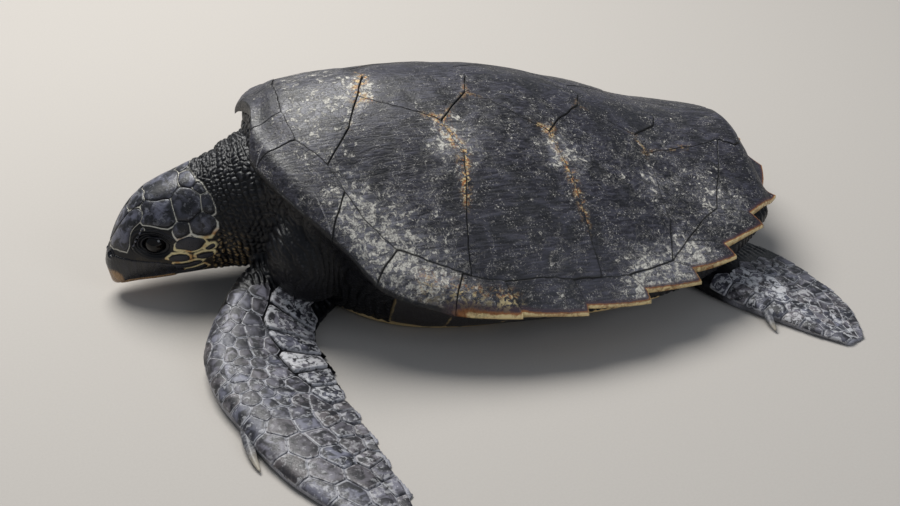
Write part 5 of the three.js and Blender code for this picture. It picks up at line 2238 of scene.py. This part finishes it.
        # How high the skin stands; the hide turns this into painted shade in the creases and a painted
        # highlight where the skin stands up.
        relief = 0.85 * on_neck * neck_relief * (0.35 + 0.65 * folds) + on_head * 0.3
        relief += 1.15 * plain * wrinkle * (0.15 + 0.85 * creases) * (0.6 + 0.4 * lines)
        corners = corners + normal * move[:, None]
        x, y, z = corners.T
        warm = on_neck * smoothstep(-z, -142, -76) * smoothstep(-x, 345, 380)
        warm *= (1 - smoothstep(np.abs(y), 72, 88)) * smoothstep(z, 40, 55)
        warm += on_head * smoothstep(np.abs(angle), 66, 90)
        seam = np.zeros(len(corners))
        skull = (ahead > -12) & (in_reach > 0)
        beside = HeadShields(self.head).seams(ahead[skull], angle[skull])
        seam[skull] = beside * smoothstep(ahead[skull] - rear[skull], -5, 2)
        owners = np.where(on_neck > 0.5, owner, grain_owner)
        fields = {"relief": relief, "warm": warm, "seam": seam, "own": owners, "pale": pale}
        corners = self.with_eyes(corners, own, fields)
        corners = self.with_nostrils(corners, fields)
        corners[:, 2] = np.maximum(corners[:, 2], 0.25)
        return Shape(corners, [], fields)

    def with_eyes(self, corners: Array, own: Array, fields: dict) -> Array:
        """Opens the lids and folds the skin round them.

        Args:
            corners: Corners of the skin.
            own: The same in the head's frame.
            fields: Fields of its finish, which change too.

        Returns:
            The moved corners.
        """
        ahead, across, up = self.head.eye_place
        for side in Side:
            near = (own[:, 1] * side.value > 8) & (np.hypot(own[:, 0] - ahead, own[:, 2] - up) < 44)
            out = unit(np.array([0.2, side.value, 0.12]))
            first = unit(np.cross(out, [0.0, 0.0, side.value]))
            second = np.cross(first, out) * side.value
            arm = own - np.array([ahead, side.value * across, up])
            rise, a, u = arm @ out, arm @ first, arm @ second
            lean = math.radians(20)
            a, u = a * math.cos(lean) + u * math.sin(lean), u * math.cos(lean) - a * math.sin(lean)
            tall = np.where(u > 0, *self.lid_heights)
            almond = (np.abs(a) / self.lid_half_width) ** 2 + (np.abs(u) / tall) ** 2
            ring = almond**0.5 + 0.05 * noise(own, 9, 33)
            aside = np.minimum(np.hypot(a, u), 13.0)
            above = smoothstep(u + 0.5 * a, -9, 6)
            lid = np.zeros(len(own))
            for middle, wide, deep in self.lid_folds:
                lid += deep * (bell(ring - middle, wide) - 1.1 * bell(ring - middle - 0.18, 0.07))
            lid *= (0.2 + 0.8 * above) * (1 + 0.35 * noise(own, 7, 31))
            shut = smoothstep(ring, 0.92, 1.06)
            level = self.head.eye_front(aside) - 2.6 + shut * 4.0
            away = smoothstep(ring, 1.1, 2.0)
            target = level * (1 - away) + rise * away + lid * shut
            shift = self.head.place((target - rise)[:, None] * out) - self.head.place(np.zeros_like(own))
            corners = np.where(near[:, None] & (ring < 3.0)[:, None], corners + shift, corners)
            round_eye = near * (1 - smoothstep(ring + 0.5 * smoothstep(-a, 6, 16), 2.0, 2.25))
            fields["seam"] = fields["seam"] * (1 - round_eye)
            fields["warm"] = fields["warm"] * (1 - round_eye)
            # Round the eye the lid folds set the relief: painted shade in their creases, a painted highlight
            # on their crests.
            folded = 0.1 + 0.8 * np.clip(lid / 1.7, 0, 1)
            fields["relief"] = np.where(round_eye > 0.2, folded, fields["relief"])
        return corners

    def with_nostrils(self, corners: Array, fields: dict) -> Array:
        """Presses in the two nostrils.

        Args:
            corners: Corners of the skin.
            fields: Fields of its finish, which change too.

        Returns:
            The moved corners.
        """
        for side in Side:
            ahead, angle = self.nostril
            place = self.head.skin_point(np.array([ahead]), np.array([side.value * angle]))[0]
            reach = np.linalg.norm(corners - place, axis=1)
            inward = unit(self.head.place(np.array([[120.0, 0.0, -18.0]]))[0] - place)
            lip = bell(reach - 5.2, 1.5)
            corners = corners + inward * (5.0 * bell(reach, 2.8) - 1.3 * lip)[:, None]
            # The nostril's hole is painted darker as painted shade, and its lip a little lighter as a painted
            # highlight.
            fields["relief"] = fields["relief"] * smoothstep(reach, 1.5, 4) + 0.6 * lip
        return corners

    def on_flippers(self, corners: Array) -> tuple[Array, Array]:
        """Finds the blades of the flippers.

        Args:
            corners: Corners of the skin.

        Returns:
            How pale the skin between the scales is, and how far each corner lies under scales.
        """
        pale, scaled = np.zeros(len(corners)), np.zeros(len(corners))
        near = np.nonzero((np.abs(corners[:, 1]) > 60) & (corners[:, 2] < 95))[0]
        for limb in Limb:
            bare = 0.2 if limb is Limb.FRONT else 0.38
            for side in Side:
                flipper = Flipper(limb, side)
                line, share = flipper.spine.walk()
                best, own, turn = np.full(len(near), 1e9), np.zeros(len(near)), np.zeros(len(near))
                _, along = flipper.spine.read(share)
                for point, at, way in zip(line[::4], share[::4], along[::4] * side.value):
                    arm = corners[near, :2] - point
                    reach = np.hypot(*arm.T)
                    closer = reach < best
                    best, own = np.where(closer, reach, best), np.where(closer, at, own)
                    turn = np.where(closer, arm[:, 0] * way[1] - arm[:, 1] * way[0], turn)
                wide, high = flipper.even(flipper.sizes.chord, own), flipper.even(flipper.sizes.height, own)
                inside = 1 - smoothstep(best - 0.5 * wide, 6, 16)
                inside *= 1 - smoothstep(corners[near, 2] - high, 5, 14)
                behind = smoothstep(turn, 2, 14) * (1 - smoothstep(own, 0.46, 0.5)) * (limb is Limb.FRONT)
                bared = smoothstep(own, bare + 0.06, bare + 0.14) * inside * (1 - behind)
                pale[near] = np.maximum(pale[near], bared)
                scaled[near] = np.maximum(scaled[near], smoothstep(own, bare - 0.04, bare + 0.02) * inside)
        return pale, scaled


# ---- Beak ----


@dataclass
class Beak:
    """The two horn sheaths of the jaws, fitted over the skin."""

    head: HeadForm
    skin: Shape
    stand: float = 1.1
    sunk: float = 3.0

    def region(self, own: Array, upper: bool) -> Array:
        """How far each point of the head lies inside a sheath's edge, in its side view.

        Args:
            own: Points in the head's frame.
            upper: Whether the sheath is the upper one.

        Returns:
            Distances, negative outside.
        """
        lines = (self.head.horn_line, self.head.mouth_line, self.head.jaw_line)
        horn, mouth, jaw = (np.array(line, float) for line in lines)
        view = own[:, [0, 2]]
        if upper:
            edge = np.concatenate([horn, [[52, -47.5]], mouth[::-1][1:], [[170, -62]]])
        else:
            edge = np.concatenate([mouth[:-1], [[70, -47.5]], jaw[1:], [[170, -90]]])
        reach = distance_to_line(view, edge, closed=True)
        inside = np.zeros(len(view), bool)
        for a, b in zip(edge, np.roll(edge, -1, axis=0)):
            spans = (a[1] > view[:, 1]) != (b[1] > view[:, 1])
            cross = a[0] + (view[:, 1] - a[1]) * (b[0] - a[0]) / np.where(b[1] == a[1], 1e-9, b[1] - a[1])
            inside ^= spans & (view[:, 0] < cross)
        return np.where(inside, reach, -reach)

    def sheath(self, upper: bool) -> Shape:
        """Lifts a closed sheath off the skin.

        Args:
            upper: Whether it is the upper one.

        Returns:
            The closed shape.
        """
        own = self.head.own(self.skin.corners)
        near = own[:, 0] > 40
        depth = np.full(len(own), -99.0)
        depth[near] = self.region(own[near], upper)
        faces = [f for f in self.skin.faces if all(depth[i] > -0.4 for i in f)]
        used = sorted({i for f in faces for i in f})
        number = {v: k for k, v in enumerate(used)}
        faces = [[number[i] for i in f] for f in faces]
        base = self.skin.corners[used]
        normal = self.skin.fields["normal"][used]
        inside = np.maximum(depth[used], 0)
        lifted = base + normal * (self.stand * np.sqrt(smoothstep(inside, -0.5, 2.2)))[:, None]
        lower = base - normal * self.sunk
        count = len(used)
        edges = {}
        for f in faces:
            for a, b in zip(f, f[1:] + f[:1]):
                edges[(a, b)] = (b, a) not in edges
                if (b, a) in edges:
                    edges[(b, a)] = False
        walls = [[b, a, a + count, b + count] for (a, b), open_ in edges.items() if open_]
        closed = faces + [[i + count for i in f[::-1]] for f in faces] + walls
        warm = np.full(count, 0.75)
        if upper:
            ahead, down = own[used, 0], -own[used, 2]
            front = smoothstep(ahead, 126, 140) * smoothstep(down, 22, 38)
            edge_glow = (1 - smoothstep(inside, 0.8, 4)) * smoothstep(down, 36, 46)
            edge_glow *= 1 - smoothstep(ahead, 112, 124)
            warm = np.clip(0.8 * edge_glow + 0.75 * front, 0, 1)
        return Shape(np.concatenate([lifted, lower]), closed, {"warm": np.concatenate([warm, warm])})

    def build(self) -> None:
        """Builds and dresses the two sheaths."""
        horn = BeakHorn().make()
        self.sheath(True).piece("beak_upper_sheath", horn, "beak_horn", ["beak_upper"])
        self.sheath(False).piece("beak_lower_sheath", horn, "beak_horn", ["beak_lower"])


# ---- Studio ----


@dataclass(frozen=True)
class Studio:
    """Pale floor, soft light and the camera."""

    camera_at: tuple = (-0.56067873, -1.93549097, 1.26183708)
    camera_back: tuple = (-0.20152848, -0.81896475, 0.53729229)
    lens: float = 69.4323

    def build(self) -> None:
        """Builds the studio."""
        floor = bpy.data.meshes.new("floor")
        floor.from_pydata([(-9, -9, 0), (9, -9, 0), (9, 9, 0), (-9, 9, 0)], [], [(0, 1, 2, 3)])
        floor.materials.append(StudioPaper().make())
        roll = bpy.data.objects.new("floor", floor)
        bpy.context.scene.collection.objects.link(roll)
        world = bpy.data.worlds.new("soft_room")
        world.use_nodes = True
        room = world.node_tree.nodes["Background"]
        room.inputs[0].default_value = linear("#dde7f4")
        room.inputs[1].default_value = 0.29
        bpy.context.scene.world = world
        self.light("softbox_over", (-0.7, 1.3, 2.6), 2.0, 128, "#fffefb")
        self.light("softbox_front", (1.6, -2.6, 1.9), 1.6, 18, "#eef4ff")
        lens = bpy.data.cameras.new("camera")
        lens.lens, lens.sensor_width, lens.sensor_fit = self.lens, 36.0, "HORIZONTAL"
        camera = bpy.data.objects.new("camera", lens)
        camera.location = self.camera_at
        camera.rotation_mode = "QUATERNION"
        camera.rotation_quaternion = (-Vector(self.camera_back)).to_track_quat("-Z", "Y")
        bpy.context.scene.collection.objects.link(camera)
        bpy.context.scene.camera = camera
        bpy.context.scene.view_settings.view_transform = "Standard"

    def light(self, name: str, place: tuple, size: float, power: float, colour: str) -> None:
        """Adds a soft light that looks at the model.

        Args:
            name: Its name.
            place: Where it stands, in metres.
            size: Its width in metres.
            power: Watts.
            colour: Its sRGB colour.
        """
        lamp = bpy.data.lights.new(name, "AREA")
        lamp.shape, lamp.size, lamp.energy, lamp.color = "DISK", size, power, linear(colour)[:3]
        made = bpy.data.objects.new(name, lamp)
        made.location = place
        made.rotation_mode = "QUATERNION"
        made.rotation_quaternion = (Vector((-0.05, 0, 0.1)) - Vector(place)).to_track_quat("-Z", "Y")
        bpy.context.scene.collection.objects.link(made)


def main() -> None:
    """Builds the turtle piece by piece, then its studio."""
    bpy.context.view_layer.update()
    Carapace().build()
    Underside().build()
    body = Skin()
    skin = body.build()
    head = HeadForm()
    HeadShields(head).build()
    Beak(head, skin).build()
    wet = WetEye().make()
    for side in Side:
        Eye(side, head).build(wet)
    scale_horn, claw_horn = ScaleHorn().make(), ClawHorn().make()
    for limb in Limb:
        for side in Side:
            Flipper(limb, side, body.smooth).build(scale_horn)
            Claw(limb, side).build(claw_horn)
    Studio().build()


if __name__ == "__main__":
    main()
